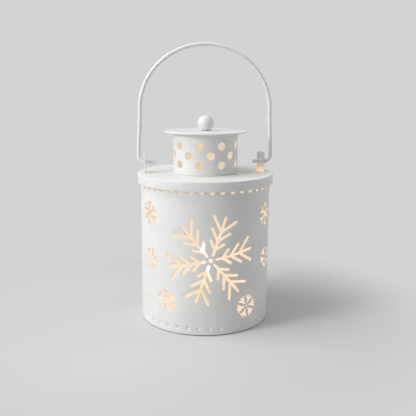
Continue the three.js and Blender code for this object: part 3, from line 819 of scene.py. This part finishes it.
def row_places(holes, cut, radius):
    """The middles of a row of holes round a wall."""
    azimuths = (MOTIF_AZIMUTH + holes["phase"] + 360 * i / holes["count"] for i in range(holes["count"]))
    return [(unrolled(azimuth, cut, radius), holes["height"]) for azimuth in azimuths]


def row_strokes(holes, cut, radius):
    return [hole(place, holes["radius"]) for place in row_places(holes, cut, radius)]


def staggered(columns, rows):
    """Places in even rows, every other row shifted by half a column."""
    half = (columns[1] - columns[0]) / 2
    return [(column + half * (i % 2), row) for i, row in enumerate(rows) for column in columns[:-1]]


class Wall:
    """A punched sheet rolled round the Z axis, with its seam at an azimuth."""

    def __init__(self, radius, sheet, cut, bottom, top, inner_bottom, groove=0):
        self.radius = radius
        self.sheet = sheet
        self.cut = cut
        self.bottom = bottom
        self.top = top
        self.inner_bottom = inner_bottom
        self.groove = groove
        self.around = 2 * math.pi * radius

    def build(self, shapes, dimples=()):
        """Triangulates the unrolled sheet, with even columns and rows, and rolls it up."""
        even = [self.around * (i / COLUMNS) for i in range(COLUMNS + 1)]
        seam = sorted({0, self.groove, self.around - self.groove, self.around})
        columns = sorted({*even, *seam})
        height = self.top - self.inner_bottom
        count = round(height / even[1])
        rows = [self.inner_bottom + height * i / count for i in range(1, count)]
        side = [self.inner_bottom, *rows]
        outside = [(u, self.bottom) for u in columns] + [(self.around, w) for w in side]
        outside += [(u, self.top) for u in reversed(columns)] + [(0, w) for w in reversed(side)]
        lines = []
        if self.inner_bottom > self.bottom:
            lines.append([(u, self.inner_bottom) for u in columns])
        loops = [outside]
        for place in dimples:
            loops += [circle(place, DIMPLE_REACH * share, DIMPLE_SIDES) for share in DIMPLE_RINGS]
        margin = self.groove + SEAM_CLEAR
        spread = [p for p in staggered(even, rows) if margin < p[0] < self.around - margin]
        away = distance_to([hole(place, DIMPLE_REACH) for place in dimples], np.array(spread))
        spread = [p for p, d in zip(spread, away) if d > DIMPLE_CLEAR]
        spread += [(u, w) for w in rows for u in seam]
        points, triangles, _ = triangulate(loops, lines, spread, shapes, PUNCH_EDGE)
        self.roll(points, triangles, shapes, dimples)

    def roll(self, points, triangles, shapes, dimples):
        """Both skins of the rolled sheet, the walls of its holes and its top edge."""
        level = points[:, 1]
        start = {round(w, 4): i for i, (u, w) in enumerate(points) if u < TINY}
        same = [start[round(w, 4)] if u > self.around - TINY else i for i, (u, w) in enumerate(points)]
        triangles = np.array(same)[triangles]
        chamfer = chamfer_at(shapes, points, PUNCH_EDGE)
        chamfer[np.abs(level - self.top) < TINY] = PUNCH_EDGE
        crease = np.where(points[:, 0] < TINY, SEAM_DEPTH if self.groove else 0, 0)
        dent = self.dents(points, dimples)
        azimuth = np.radians(self.cut) + points[:, 0] / self.radius
        around = np.stack([np.sin(azimuth), -np.cos(azimuth)], axis=1)
        outer = self.radius - np.maximum(chamfer, crease) - dent
        inner = self.radius - self.sheet + chamfer - dent
        self.vertices = [
            tuple(vertex) for reach in (outer, inner)
            for vertex in np.column_stack([around * reach[:, None], level])
        ]
        count = len(points)
        double = triangles[level[triangles].mean(axis=1) > self.inner_bottom]
        self.faces = triangles.tolist()
        self.faces += [[i + count for i in reversed(t)] for t in double.tolist()]
        for a, b in open_edges(double):
            if max(level[a], level[b]) > self.inner_bottom + TINY:
                self.faces.append([b, a, a + count, b + count])
        order = [int(i) for i in np.argsort(points[:, 0]) if points[i][0] < self.around - TINY]
        self.outer_row = [i for i in order if abs(level[i] - self.bottom) < TINY]
        self.inner_row = [i + count for i in order if abs(level[i] - self.inner_bottom) < TINY]
        self.headings = [azimuth[i] - math.pi / 2 for i in self.outer_row]

    def dents(self, points, dimples):
        """How far the dimples push points of the sheet inwards."""
        dent = np.zeros(len(points))
        for place in dimples:
            share = np.linalg.norm(points - place, axis=1) / DIMPLE_REACH
            dent = np.maximum(dent, DIMPLE_DEPTH * np.clip(1 - share**2, 0, 1) ** 1.5)
        return dent

    def close_bottom(self, outline, corner):
        """Joins the outer skin's lowest row to the inner skin's through an outline, and returns the mesh."""
        profile = rounded(outline, corner, 5, closed=False)[1:-1]
        rows = [self.outer_row, *add_rings(self.vertices, profile, self.headings), self.inner_row]
        return self.vertices, self.faces + bands(rows)


def paint_glow_inside(shell, radius, bottom, glow_coat):
    """Gives the inner faces of a wall, above a height, a coat with a painted glow, a warm emission added to
    the flame's real light on them.
    """
    paint(shell, glow_coat, lambda place, normal:
          looks_in(place, normal) and place.z > bottom and place.xy.length < radius)


def body_shapes():
    radius = body_high.x
    shapes = []
    for flake, azimuth, level, first_arm in FLAKES:
        u = unrolled(MOTIF_AZIMUTH + azimuth, BODY_CUT, radius)
        shapes += flake_strokes(flake, u, body_high.z * level, first_arm)
    return shapes + row_strokes(TOP_HOLES, BODY_CUT, radius) + row_strokes(DIMPLES, BODY_CUT, radius)


def body_shell():
    """The rolled and punched body. Its recessed foot and the underside it stands on are near-black, a
    painted contact shadow.
    """
    radius = body_high.x
    inner = radius - BODY_SHEET
    lowest = FOOT_HEIGHT + HEM_ROUND
    foot = radius - FOOT_STEP
    hem = radius - HEM_SHEET
    wall = Wall(radius, BODY_SHEET, BODY_CUT, lowest, body_high.z, HEM_TOP, SEAM_GROOVE)
    wall.build(body_shapes(), row_places(DIMPLES, BODY_CUT, radius))
    part = wall.close_bottom([
        (radius, lowest), (radius, FOOT_HEIGHT, HEM_ROUND), (foot, FOOT_HEIGHT), (foot, 0),
        (hem, 0), (hem, HEM_TOP), (inner, HEM_TOP),
    ], 0.1)
    shell = add_piece("body_sheet", part, "body_shell")
    # Painted glow on the wall's inner faces, standing in for the flame's light
    paint_glow_inside(shell, radius - BODY_SHEET / 2, plate_low.z, glow_painted_coat)
    # The foot and the underside it stands on are near-black: a painted contact shadow under the body
    paint(shell, painted_contact_shadow, lambda place, normal:
          place.z < FOOT_HEIGHT * 0.99 and place.xy.length < radius - FOOT_STEP / 2)


def seam_lap():
    """The inner lap of the body's seam, between the base plate and the upper holes."""
    outer = body_high.x - BODY_SHEET
    bottom = plate_high.z + FIT_GAP
    top = TOP_HOLES["height"] - TOP_HOLES["radius"] - FIT_GAP
    outline = rounded(rectangle(outer - LAP_SHEET, outer, bottom, top), 0.15)
    lap = sector(outline, BODY_CUT, BODY_CUT + LAP_ARC, 8)
    # The lap carries the painted glow that stands in for the flame's light
    add_piece("seam_lap", lap, material=glow_painted_coat)


def chimney_drum():
    """The perforated cylinder on the lid, with a rounded lower edge."""
    radius = drum_high.x
    inner = radius - DRUM_SHEET
    lowest = drum_low.z + DRUM_ROUND
    wall = Wall(radius, DRUM_SHEET, DRUM_CUT, lowest, drum_high.z, lowest)
    shapes = []
    for share, phase in DRUM_ROWS:
        height = drum_low.z + (drum_high.z - drum_low.z) * share
        shapes += row_strokes({**DRUM_HOLES, "phase": phase, "height": height}, DRUM_CUT, radius)
    wall.build(shapes)
    part = wall.close_bottom([
        (radius, lowest), (radius, drum_low.z, DRUM_ROUND), (inner, drum_low.z, 0.05), (inner, lowest),
    ], 0.1)
    drum = add_piece("chimney_sheet", part, "chimney_drum")
    # Painted glow on the drum's inner faces, standing in for the flame's light
    paint_glow_inside(drum, radius - DRUM_SHEET / 2, drum_low.z, chimney_glow_painted_coat)


# Flat round plates


class Slab:
    """A flat round plate with shapes cut through it or sunk into its underside. Its rim, and its bore
    where it has one, are left open, for an outline of (radius, height) to go round."""

    def __init__(self, outer, inner=0, middle=(0, 0), count=COLUMNS):
        self.outer = outer
        self.inner = inner
        self.middle = np.array(middle, float)
        self.count = count
        self.vertices = []
        self.faces = []
        self.skins = []

    def add_skin(self, height, shapes=(), depth=0, edge=0.15, upper=False):
        """Adds the lower or upper face, with a chamfer round its shapes, which a depth sinks into it."""
        loops = [circle(self.middle, radius, self.count) for radius in (self.outer, self.inner) if radius]
        points, kept, cut_out = triangulate(loops, [], self.spread(), shapes, edge)
        far = np.linalg.norm(points - self.middle, axis=1)
        reach = np.linalg.norm(points[kept].mean(axis=1) - self.middle, axis=1)
        kept = kept[(reach < self.outer) & (reach > self.inner * math.cos(math.pi / self.count))]
        chamfer = chamfer_at(shapes, points, edge) * (-1 if upper else 1)
        first = len(self.vertices)
        self.vertices += [(x, y, height + c) for (x, y), c in zip(points, chamfer)]
        self.faces += (first + kept).tolist()
        skin = {"first": first, "points": points, "kept": kept, "far": far}
        self.skins.append(skin)
        if depth:
            self.sink(skin, height + depth, cut_out)
        return skin

    def spread(self):
        """Even places on the plate, clear of its rim and bore."""
        pitch = 4 * math.pi * self.outer / self.count
        margin = 0.6 * pitch
        places = lattice(self.middle, (self.outer, self.outer), pitch, 0.87)
        far = np.linalg.norm(places - self.middle, axis=1)
        return places[(far > self.inner + margin) & (far < self.outer - margin)]

    def sink(self, skin, floor, cut_out):
        """Floors and walls of the shapes that are sunk into a skin."""
        used = sorted({int(i) for triangle in cut_out for i in triangle})
        below = {i: len(self.vertices) + k for k, i in enumerate(used)}
        self.vertices += [(*skin["points"][i], floor) for i in used]
        self.faces += [[below[i] for i in triangle] for triangle in cut_out.tolist()]
        first = skin["first"]
        self.faces += [[below[a], below[b], first + b, first + a] for a, b in open_edges(cut_out)]

    def pierce(self, bottom, top, shapes):
        """Adds both faces with shapes cut through them, and the walls of those shapes."""
        low = self.add_skin(bottom, shapes)
        high = self.add_skin(top, shapes, upper=True)
        first, second = low["first"], high["first"]
        for a, b in open_edges(low["kept"]):
            ends = low["far"][[a, b]]
            on_rim = ends.min() > self.outer - TINY
            on_bore = self.inner and ends.max() < self.inner + TINY
            if not on_rim and not on_bore:
                self.faces.append([first + a, first + b, second + b, second + a])

    def row(self, skin, radius):
        """The vertices of a skin on a circle, in the order of a ring."""
        placed = skin["points"] - self.middle
        on = [i for i in range(len(placed)) if abs(skin["far"][i] - radius) < 0.001]
        step = 2 * math.pi / self.count
        turn = {i: round(math.atan2(placed[i][1], placed[i][0]) / step) % self.count for i in on}
        return [skin["first"] + i for i in sorted(on, key=turn.get)]

    def wrap(self, radius, outline, corner, steps):
        """Joins the upper skin's row on a circle to the lower one's through an outline, or the row of an
        only skin to the axis, and returns the mesh."""
        profile = rounded(outline, corner, steps, closed=False)[1:]
        ends = [self.row(skin, radius) for skin in reversed(self.skins)]
        if len(ends) == 2:
            profile.pop()
        rings = add_rings(self.vertices, profile, even_angles(self.count), self.middle)
        self.faces += bands([ends[0], *rings, *ends[1:]])
        return self.vertices, self.faces


def base_plate():
    """The ring that holds the candle unit, with a painted glow on its upper side, a warm emission that
    stands in for the flame's light.
    """
    section = rectangle(CANDLE_RADIUS + FIT_GAP, plate_high.x, plate_low.z, plate_high.z)
    plate = add_piece("base_ring", lathe(rounded(section, 0.2)), "base_plate")
    # Painted glow on the upper faces, standing in for the flame's light
    paint(plate, glow_painted_coat, lambda place, normal: normal.z > 0.5)


def ear_slots():
    slots = []
    for ear in EARS:
        turn = math.radians(ear["twist"])
        outward = EAR_WIDTH / 2 * math.sin(turn) + EAR_SHEET / 2 * math.cos(turn) + FIT_GAP
        inward = EAR_SHEET / 2 + SLOT_REACH
        middle = ear["side"] * (lid_high.x - ear["inset"] + (outward - inward) / 2)
        slots.append(Slot((middle, 0), (outward + inward, EAR_WIDTH + 2 * FIT_GAP), 0.5))
    return slots


def lid():
    """The flat lid with its slots, rolled skirt and lip, and the collar that holds the chimney."""
    rim = lid_high.x
    outer = rim - LID_BEND - 0.2
    inner = COLLAR_OUTER + 1
    slab = Slab(outer, inner)
    slab.pierce(LID_UNDER, LID_TOP, ear_slots())
    lip_top = lid_low.z + LID_SHEET
    skirt = [
        (outer, LID_TOP), (rim, LID_TOP, LID_BEND), (rim, lid_low.z, 0.5), (LIP_INNER, lid_low.z),
        (LIP_INNER, lip_top), (rim - LID_SHEET, lip_top),
        (rim - LID_SHEET, LID_UNDER, LID_BEND - LID_SHEET), (outer, LID_UNDER),
    ]
    slab.wrap(outer, skirt, 0.28, 6)
    collar = [
        (inner, LID_TOP), (COLLAR_OUTER, LID_TOP), (COLLAR_OUTER, lid_high.z), (COLLAR_INNER, lid_high.z),
        (COLLAR_INNER, LID_UNDER, 0.8), (inner, LID_UNDER),
    ]
    part = slab.wrap(inner, collar, 0.25, 4)
    pressing = add_piece("lid_pressing", part, "lid")
    # Painted glow on the faces that look into the body, standing in for the flame's light
    paint(pressing, glow_painted_coat, looks_into_body)


def looks_into_body(place, normal):
    """Whether the flame's light reaches a face of the lid; such faces get the painted glow."""
    reach = place.xy.length
    return reach < body_high.x - BODY_SHEET and (normal.z < -0.5 or reach < COLLAR_OUTER - 0.3)


def ear_path(ear):
    """Where a point of the strip lies, by its place along and across it, the strip's length, and the
    places along it where its bends are cut into facets."""
    half = EAR_WIDTH / 2
    side = ear["side"]
    place = side * (lid_high.x - ear["inset"])
    turn = math.radians(ear["twist"])
    flat_wall = math.sqrt((body_high.x - BODY_SHEET) ** 2 - half**2) * math.cos(math.pi / EAR_WALL_SIDES)
    wall = flat_wall - SEAT_GAP - EAR_SHEET / 2
    level = LID_UNDER - EAR_SHEET * 1.5
    foot_bottom = level + EAR_SHEET / 2 - EAR_FOOT
    foot = level - EAR_BEND - foot_bottom
    arc = EAR_BEND * math.pi / 2
    arm = abs(side * wall - place) - 2 * EAR_BEND
    tab = LID_TOP + EAR_HEIGHT - level - EAR_BEND
    length = foot + arc + arm + arc + tab

    def lay(s, w):
        at_tab = np.array((place - w * math.sin(turn), w * math.cos(turn)))
        at_wall = np.array((side * wall, w))
        away = at_wall - at_tab
        away /= np.linalg.norm(away)
        if s < foot:
            return *at_wall, foot_bottom + s
        if s < foot + arc:
            bend = (s - foot) / EAR_BEND
            x, y = at_wall - away * EAR_BEND * (1 - math.cos(bend))
            return x, y, level - EAR_BEND * (1 - math.sin(bend))
        if s < foot + arc + arm:
            share = (s - foot - arc) / arm
            x, y = (1 - share) * (at_wall - away * EAR_BEND) + share * (at_tab + away * EAR_BEND)
            return x, y, level
        if s < length - tab:
            bend = (s - length + tab + arc) / EAR_BEND
            x, y = at_tab + away * EAR_BEND * (1 - math.sin(bend))
            return x, y, level + EAR_BEND * (1 - math.cos(bend))
        return *at_tab, level + EAR_BEND + s - length + tab

    bends = [foot + arc * i / 5 for i in range(6)] + [length - tab - arc * i / 5 for i in range(6)]
    return lay, length, bends


def ear_bracket(ear):
    """A strip with a foot on the wall, an arm under the lid, and a standing tab with the bail's hole."""
    lay, length, bends = ear_path(ear)
    blank = Slot((length / 2, 0), (length, EAR_WIDTH), EAR_CORNER)
    across = EAR_WIDTH / 2 + 1
    lines = [[(s, -across), (s, across)] for s in bends]
    holes = [hole((length + PIVOT_RISE - EAR_HEIGHT, 0), EAR_HOLE)]
    strip = bent_sheet(blank, holes, lines, lay, EAR_SHEET, EAR_EDGE)
    piece = add_piece(ear["node"].replace("bracket", "strip"), strip, ear["node"])
    # Painted glow on the twisted tab's inner face, fading upwards, standing in for the light through its
    # slot
    if ear["twist"]:
        paint(piece, ear_glow_painted_coat, lambda place, normal: place.z > LID_TOP and looks_in(place, normal))


def chimney_cap():
    """A flat disc with a rounded rim, a screw hole, and three lugs that sit inside the chimney."""
    under = cap_high.z - CAP_SHEET
    bore = SCREW_RADIUS + FIT_GAP
    disc = lathe(rounded([
        (bore, under, 0.1), (cap_high.x, under), (cap_high.x, cap_high.z), (bore, cap_high.z, 0.1),
    ], CAP_EDGE, 6))
    outer = drum_high.x - DRUM_SHEET - FIT_GAP
    section = rounded(rectangle(outer - LUG_SHEET, outer, cap_low.z, under + 0.2), 0.2)
    lugs = [sector(section, 90 - a - LUG_ARC / 2, 90 - a + LUG_ARC / 2, 12) for a in (0, 120, 240)]
    add_piece("cap_disc", merged(disc, *lugs), "chimney_cap")


def knob_ball():
    """A ball with a flat seat and the hole of its screw from below."""
    radius = knob_high.x
    centre = knob_high.z - radius
    start = math.asin(KNOB_FLAT / radius)
    bore = SCREW_RADIUS + FIT_GAP / 2
    depth = cap_high.z + KNOB_BORE
    outline = [(0, depth), (bore, depth), (bore, knob_low.z + 0.2), (bore + 0.2, knob_low.z)]
    steps = 40
    for i in range(steps):
        angle = start + (math.pi - start) * i / steps
        outline.append((radius * math.sin(angle), centre - radius * math.cos(angle)))
    outline.append((0, knob_high.z))
    add_piece("knob_round", lathe(outline, 96), "knob_ball")


def bail_path():
    """Half of the bail's middle line, from the end of its hook to the top of its arch."""
    hook_end = LEG_SPREAD - HOOK_LENGTH
    bend_x = LEG_SPREAD - HOOK_BEND
    bend_z = PIVOT + HOOK_BEND
    arch_spread = LEG_SPREAD - LEG_SPLAY
    arch_bottom = bail_high.z - WIRE - ARCH_RISE
    path = [(hook_end + (bend_x - hook_end) * i / 6, PIVOT) for i in range(6)]
    for i in range(13):
        angle = math.pi / 2 * i / 12
        path.append((bend_x + HOOK_BEND * math.sin(angle), bend_z - HOOK_BEND * math.cos(angle)))
    for i in range(1, 16):
        share = i / 16
        path.append((LEG_SPREAD - LEG_SPLAY * ease(share), bend_z + (arch_bottom - bend_z) * share))
    for i in range(41):
        angle = math.pi / 2 * i / 40
        path.append((arch_spread * math.cos(angle), arch_bottom + ARCH_RISE * math.sin(angle)))
    return path


def ease(share):
    """A share that starts and stops slowly."""
    return share * share * (3 - 2 * share)


def bail_handle():
    """The wire bail, with slightly rounded ends."""
    half = bail_path()
    path = half + [(-x, z) for x, z in reversed(half[:-1])]
    round_end = [(0.12, 0.55), (0.3, 0.8), (0.6, 1)]
    start, end = path[0], path[-1]
    lead = [(start[0] + WIRE * along, start[1]) for along, _ in round_end]
    tail = [(end[0] - WIRE * along, end[1]) for along, _ in reversed(round_end)]
    path = [start, *lead, *path[1:-1], *tail, end]
    ends = [WIRE * 0.2] + [WIRE * share for _, share in round_end]
    radii = ends + [WIRE] * (len(path) - 2 * len(ends)) + ends[::-1]
    # The wire gets the lighter copy of the coat: painted light
    add_piece("bail_wire", tube(path, radii), "bail_handle", "bail", material=wire_coat_painted_lighter, sharp=75)


# Candle unit


def boss_place(turn):
    return BOSS_PLACE * unit(math.radians(turn))


def tub_clips():
    """The clips on the tub that snap over the base plate."""
    bottom = plate_high.z + SEAT_GAP
    inner, outer = CANDLE_RADIUS - CLIP_ROOT, CANDLE_RADIUS + CLIP_STEP
    edge, top = bottom + CLIP_EDGE, bottom + CLIP_HEIGHT
    section = rounded([(inner, bottom), (outer, bottom), (outer, edge), (inner, top)], 0.15)
    return [sector(section, 90 - a - CLIP_ARC / 2, 90 - a + CLIP_ARC / 2, 6) for a in CLIP_TURNS]


def tub_bosses():
    """The bosses in the tub that the closure screws go into."""
    bottom = closure_high.z + FIT_GAP
    boss = lathe(rounded(rectangle(BOSS_BORE, BOSS_RADIUS, bottom, bottom + BOSS_HEIGHT), 0.2), 24)
    return [moved(boss, *boss_place(turn)) for turn in BOSS_TURNS]


def candle_housing():
    """The tub of the candle unit: flange, clips, dished top with the flame's hole, and bosses."""
    top = housing_high.z
    floor = top - DISH
    ceiling = floor - CANDLE_WALL
    flat = CANDLE_RADIUS - DISH_RIM - DISH_SLOPE - 0.5
    slab = Slab(flat)
    slab.pierce(ceiling, floor, [hole((FLAME_X, 0), FLAME_HOLE)])
    flange = housing_high.x
    flange_top = plate_low.z - SEAT_GAP
    side = [
        (flat, floor), (flat + 0.5, floor), (flat + 0.5 + DISH_SLOPE, top, 1),
        (CANDLE_RADIUS, top, CANDLE_SHOULDER), (CANDLE_RADIUS, flange_top), (flange, flange_top, 0.5),
        (flange, housing_low.z, 0.4), (CANDLE_INNER, housing_low.z), (CANDLE_INNER, ceiling, 1),
        (flat, ceiling),
    ]
    part = merged(slab.wrap(flat, side, 0.3, 5), *tub_clips(), *tub_bosses())
    tub = add_piece("candle_tub", part, "candle_housing", slot="candle_plastic")
    # Painted glow on the tub above the base plate, standing in for the flame's light
    paint(tub, glow_painted_plastic, lambda place, normal: place.z > plate_high.z)


def closure_shapes():
    """The door's bayonet opening, the switch's slot and the screw holes."""
    reach = door_high.y - LUG_WIDTH / 2
    along = reach * unit(math.radians(90 + DOOR_TURN))
    middle = np.array((DOOR_X, 0))
    slot_x = (slider_low.x + slider_high.x) / 2
    slot_half = SLIDER_HALF + FIT_GAP
    slot_run = (SLIDER_TIP + SWITCH_TRAVEL + 2 * FIT_GAP) / 2 - slot_half
    return [
        hole(middle, DOOR_RADIUS + FIT_GAP),
        Stroke(middle - along, middle + along, LUG_WIDTH / 2 + FIT_GAP),
        Stroke((slot_x, -slot_run), (slot_x, slot_run), slot_half),
        *(hole(boss_place(turn), SCREW_SHANK + FIT_GAP) for turn in BOSS_TURNS),
    ]


def candle_closure():
    """The plate under the candle unit."""
    edge = closure_high.x
    flat = edge - 0.3
    bottom, top = closure_low.z, closure_high.z
    slab = Slab(flat)
    slab.pierce(bottom, top, closure_shapes())
    part = slab.wrap(flat, [(flat, top), (edge, top), (edge, bottom), (flat, bottom)], 0.25, 4)
    add_piece("closure_plate", part, "candle_closure", slot="candle_plastic")


def battery_door():
    """The round door with a coin slot below, a rim and two lugs."""
    rim = DOOR_RADIUS
    well = rim - DOOR_RIM
    flat = well - 0.4
    floor, top, bottom = closure_high.z, door_high.z, door_low.z
    slab = Slab(flat, middle=(DOOR_X, 0))
    slab.add_skin(bottom, [Slot((DOOR_X, 0), COIN_SLOT, COIN_SLOT[1] / 2 - 0.05)], COIN_SLOT_DEPTH)
    slab.add_skin(floor, upper=True)
    side = [
        (flat, floor), (well, floor), (well, top), (rim, top), (rim, bottom, 0.3), (flat, bottom),
    ]
    disc = slab.wrap(flat, side, 0.2, 4)
    reach = door_high.y
    turn = math.degrees(LUG_WIDTH / 2 / reach)
    section = rounded(rectangle(rim - 0.3, reach, top - LUG_HEIGHT, top), 0.2)
    lugs = [moved(sector(section, at - turn, at + turn, 4), DOOR_X) for at in (0, 180)]
    part = merged(disc, *lugs)
    add_piece("coin_door", part, "battery_door", "door", "candle_plastic")


def closure_screw(number, turn):
    """A small screw with a cross recess in its domed head."""
    place = boss_place(turn)
    head_top = closure_low.z - SEAT_GAP / 2
    head_low = head_top - SCREW_HEAD_HEIGHT
    tip = head_top + SCREW_LENGTH
    arms = CROSS_REACH * np.eye(2)
    cross = [Stroke(place - arm, place + arm, CROSS_HALF) for arm in arms]
    slab = Slab(SCREW_FLAT, middle=place, count=36)
    slab.add_skin(head_low, cross, CROSS_DEPTH, edge=0.03)
    head = [
        (SCREW_FLAT, head_low), (SCREW_HEAD, head_low, 0.5), (SCREW_HEAD, head_top, 0.1),
        (SCREW_SHANK, head_top, 0.05), (SCREW_SHANK, tip - SCREW_TAPER, 0.2), (0, tip),
    ]
    part = slab.wrap(SCREW_FLAT, head, 0.1, 4)
    add_piece(f"cross_screw_{number}", part, f"closure_screw_{number}", slot="zinc_steel")


def switch_slider():
    """The slide switch's knob: a foot inside the switch and a ribbed tip that a fingernail moves."""
    middle_y = (slider_low.y + slider_high.y) / 2
    middle_x = (slider_low.x + slider_high.x) / 2
    tip = slider_low.z
    foot_top = slider_high.z
    foot_low = foot_top - SLIDER_FOOT
    neck = SLIDER_TIP / 2
    foot = slider_high.y - middle_y
    ribs = []
    groove = tip + RIB_DEPTH
    for i in range(4):
        y = neck - RIB_PITCH * i
        ribs += [(y - 0.02, tip), (y - 0.26, tip), (y - 0.3, groove), (y - 0.46, groove)]
    outline = [
        (-neck, foot_low), (-foot, foot_low), (-foot, foot_top), (foot, foot_top), (foot, foot_low),
        (neck, foot_low), (neck, tip + 0.1), *ribs[:-2], (-neck, tip + 0.1),
    ]
    vertices = [(middle_x + x, middle_y + y, z) for x in (-SLIDER_HALF, SLIDER_HALF) for y, z in outline]
    part = swept(vertices, len(outline))
    knob = add_piece("slider_knob", part, "switch_slider", "slider", "dark_plastic")
    bevel = knob.modifiers.new("edges", "BEVEL")
    bevel.width = 0.04 * MM
    bevel.segments = 2
    bevel.limit_method = "ANGLE"


def flame_bulb():
    """The hollow frosted flame, which leans to one side on its way up."""
    top = housing_high.z
    height = flame_high.z - top
    ceiling = top + FLAME_HOLLOW * height
    seat = top - DISH - CANDLE_WALL - SEAT_GAP
    steps = 40
    outside = [(smooth_value(FLAME_SHARES, i / steps), top + i / steps * height) for i in range(steps)]
    inside = [(max(r - FLAME_WALL, 0.05), z) for r, z in reversed(outside) if z < ceiling]
    profile = [
        (FLAME_BORE, seat - 1), (FLAME_FLANGE, seat - 1), (FLAME_FLANGE, seat), (FLAME_NECK, seat),
        *outside, (0, flame_high.z), (0, ceiling), *inside, (FLAME_BORE, top),
    ]
    vertices, faces = lathe(profile, 48)
    leaning = []
    for x, y, z in vertices:
        share = np.clip(((z - top) / height - LEAN_START) / LEAN_RUN, 0, 1)
        leaning.append((x + FLAME_X - FLAME_LEAN * ease(share), y, z))
    add_piece("flame_form", (leaning, faces), "flame_bulb", slot="flame_plastic", sharp=60)


def smooth_value(pairs, at):
    """A value between named (place, value) pairs, on a smooth curve through them."""
    places, values = np.array(pairs, float).T
    slopes = np.gradient(values, places)
    i = int(np.clip(np.searchsorted(places, at) - 1, 0, len(places) - 2))
    span = places[i + 1] - places[i]
    t = (at - places[i]) / span
    lift = (1 + 2 * t) * (1 - t) ** 2 * values[i] + t * t * (3 - 2 * t) * values[i + 1]
    return float(lift + span * (t * (1 - t) ** 2 * slopes[i] - t * t * (1 - t) * slopes[i + 1]))


# Camera, light and surroundings


def add_camera():
    """A camera at the photograph's viewpoint, rolled a little."""
    data = bpy.data.cameras.new("camera")
    data.sensor_width = SENSOR_MM
    data.lens = FOCAL_PIXELS / FRAME_PIXELS * SENSOR_MM
    data.clip_start = 0.01
    camera = add_object("camera", data)
    turn, tilt, roll = (
        Matrix.Rotation(math.radians(angle), 4, axis)
        for angle, axis in ((CAMERA_AZIMUTH, "Z"), (90 - CAMERA_PITCH, "X"), (CAMERA_ROLL, "Z"))
    )
    place = Matrix.Translation(MM * Vector((CAMERA_SIDE, -CAMERA_DISTANCE, CAMERA_HEIGHT)))
    camera.matrix_world = turn @ place @ tilt @ roll
    bpy.context.scene.camera = camera


def seen_share(tree):
    """1 for rays from the camera and for glossy and transmitted ones, and 0 for diffuse ones."""
    path = add_node(tree, "ShaderNodeLightPath", {}).outputs
    seen = combine(tree, "MAXIMUM", path["Is Camera Ray"], path["Is Glossy Ray"])
    return combine(tree, "MAXIMUM", seen, path["Is Transmission Ray"])


def mix_shaders(tree, share, one, other, output):
    """Sends a mix of two shaders to the surface of an output node."""
    mix = add_node(tree, "ShaderNodeMixShader", {0: share, 1: one.outputs[0], 2: other.outputs[0]})
    fill(tree, tree.nodes[output], {"Surface": mix.outputs[0]})


def add_world():
    """Weak white light from all sides, behind a plain grey backdrop."""
    world = bpy.data.worlds.new("studio")
    bpy.context.scene.world = world
    world.use_nodes = True
    tree = world.node_tree
    light = tree.nodes["Background"]
    fill(tree, light, {"Color": (1, 1, 1, 1), "Strength": WORLD_STRENGTH})
    seen = add_node(tree, "ShaderNodeBackground", {"Color": (*grey(BACKDROP_GREY), 1), "Strength": 1.0})
    mix_shaders(tree, seen_share(tree), light, seen, "World Output")


def add_floor():
    """A pale floor that fades into the backdrop away from the object."""
    mesh = bpy.data.meshes.new("floor")
    corners = ((-1, -1), (1, -1), (1, 1), (-1, 1))
    mesh.from_pydata([(FLOOR_HALF * x, FLOOR_HALF * y, 0) for x, y in corners], [], [(0, 1, 2, 3)])
    material, tree, shader, place = new_material("floor")
    fill(tree, shader, {
        "Base Color": (*grey(FLOOR_GREY), 1), "Roughness": 0.9, "Specular IOR Level": 0.1,
    })
    reach = add_node(tree, "ShaderNodeVectorMath", {0: place}, operation="LENGTH").outputs["Value"]
    fade = map_range(tree, reach, FADE_START, FADE_END, interpolation_type="SMOOTHSTEP")
    flat = add_node(tree, "ShaderNodeEmission", {"Color": (*grey(BACKDROP_GREY), 1), "Strength": 1.0})
    seen = combine(tree, "MULTIPLY", fade, seen_share(tree))
    mix_shaders(tree, seen, shader, flat, "Material Output")
    mesh.materials.append(material)
    add_object("floor", mesh)


def add_lamp(name, energy, size, azimuth, elevation):
    """A soft square lamp that faces the lantern from an azimuth and elevation seen by the camera."""
    light = bpy.data.lights.new(name, "AREA")
    light.size = size
    light.energy = energy
    lamp = add_object(name, light)
    turn = math.radians(azimuth + CAMERA_AZIMUTH)
    rise = math.radians(elevation)
    target = Vector((0, 0, MM * body_high.z * LAMP_AIM))
    towards = Vector((math.sin(turn) * math.cos(rise), -math.cos(turn) * math.cos(rise), math.sin(rise)))
    lamp.location = target + LAMP_DISTANCE * towards
    lamp.rotation_euler = towards.to_track_quat("Z", "Y").to_euler()


body_shell()
seam_lap()
base_plate()
lid()
for ear in EARS:
    ear_bracket(ear)
chimney_drum()
chimney_cap()
knob_ball()
bail_handle()
candle_housing()
flame_bulb()
candle_closure()
battery_door()
for number, turn in enumerate(BOSS_TURNS, 1):
    closure_screw(number, turn)
switch_slider()

add_camera()
add_world()
add_floor()
for lamp in LAMPS:
    add_lamp(**lamp)
bpy.context.scene.view_settings.view_transform = "Standard"

# Finish of the CAD nodes
for part in frame["record"]["subparts"]:
    node = frame["nodes"][part["node"]]
    node.data.materials.clear()
    node.data.materials.append(SLOT_MATERIALS[part["material_slot"]])
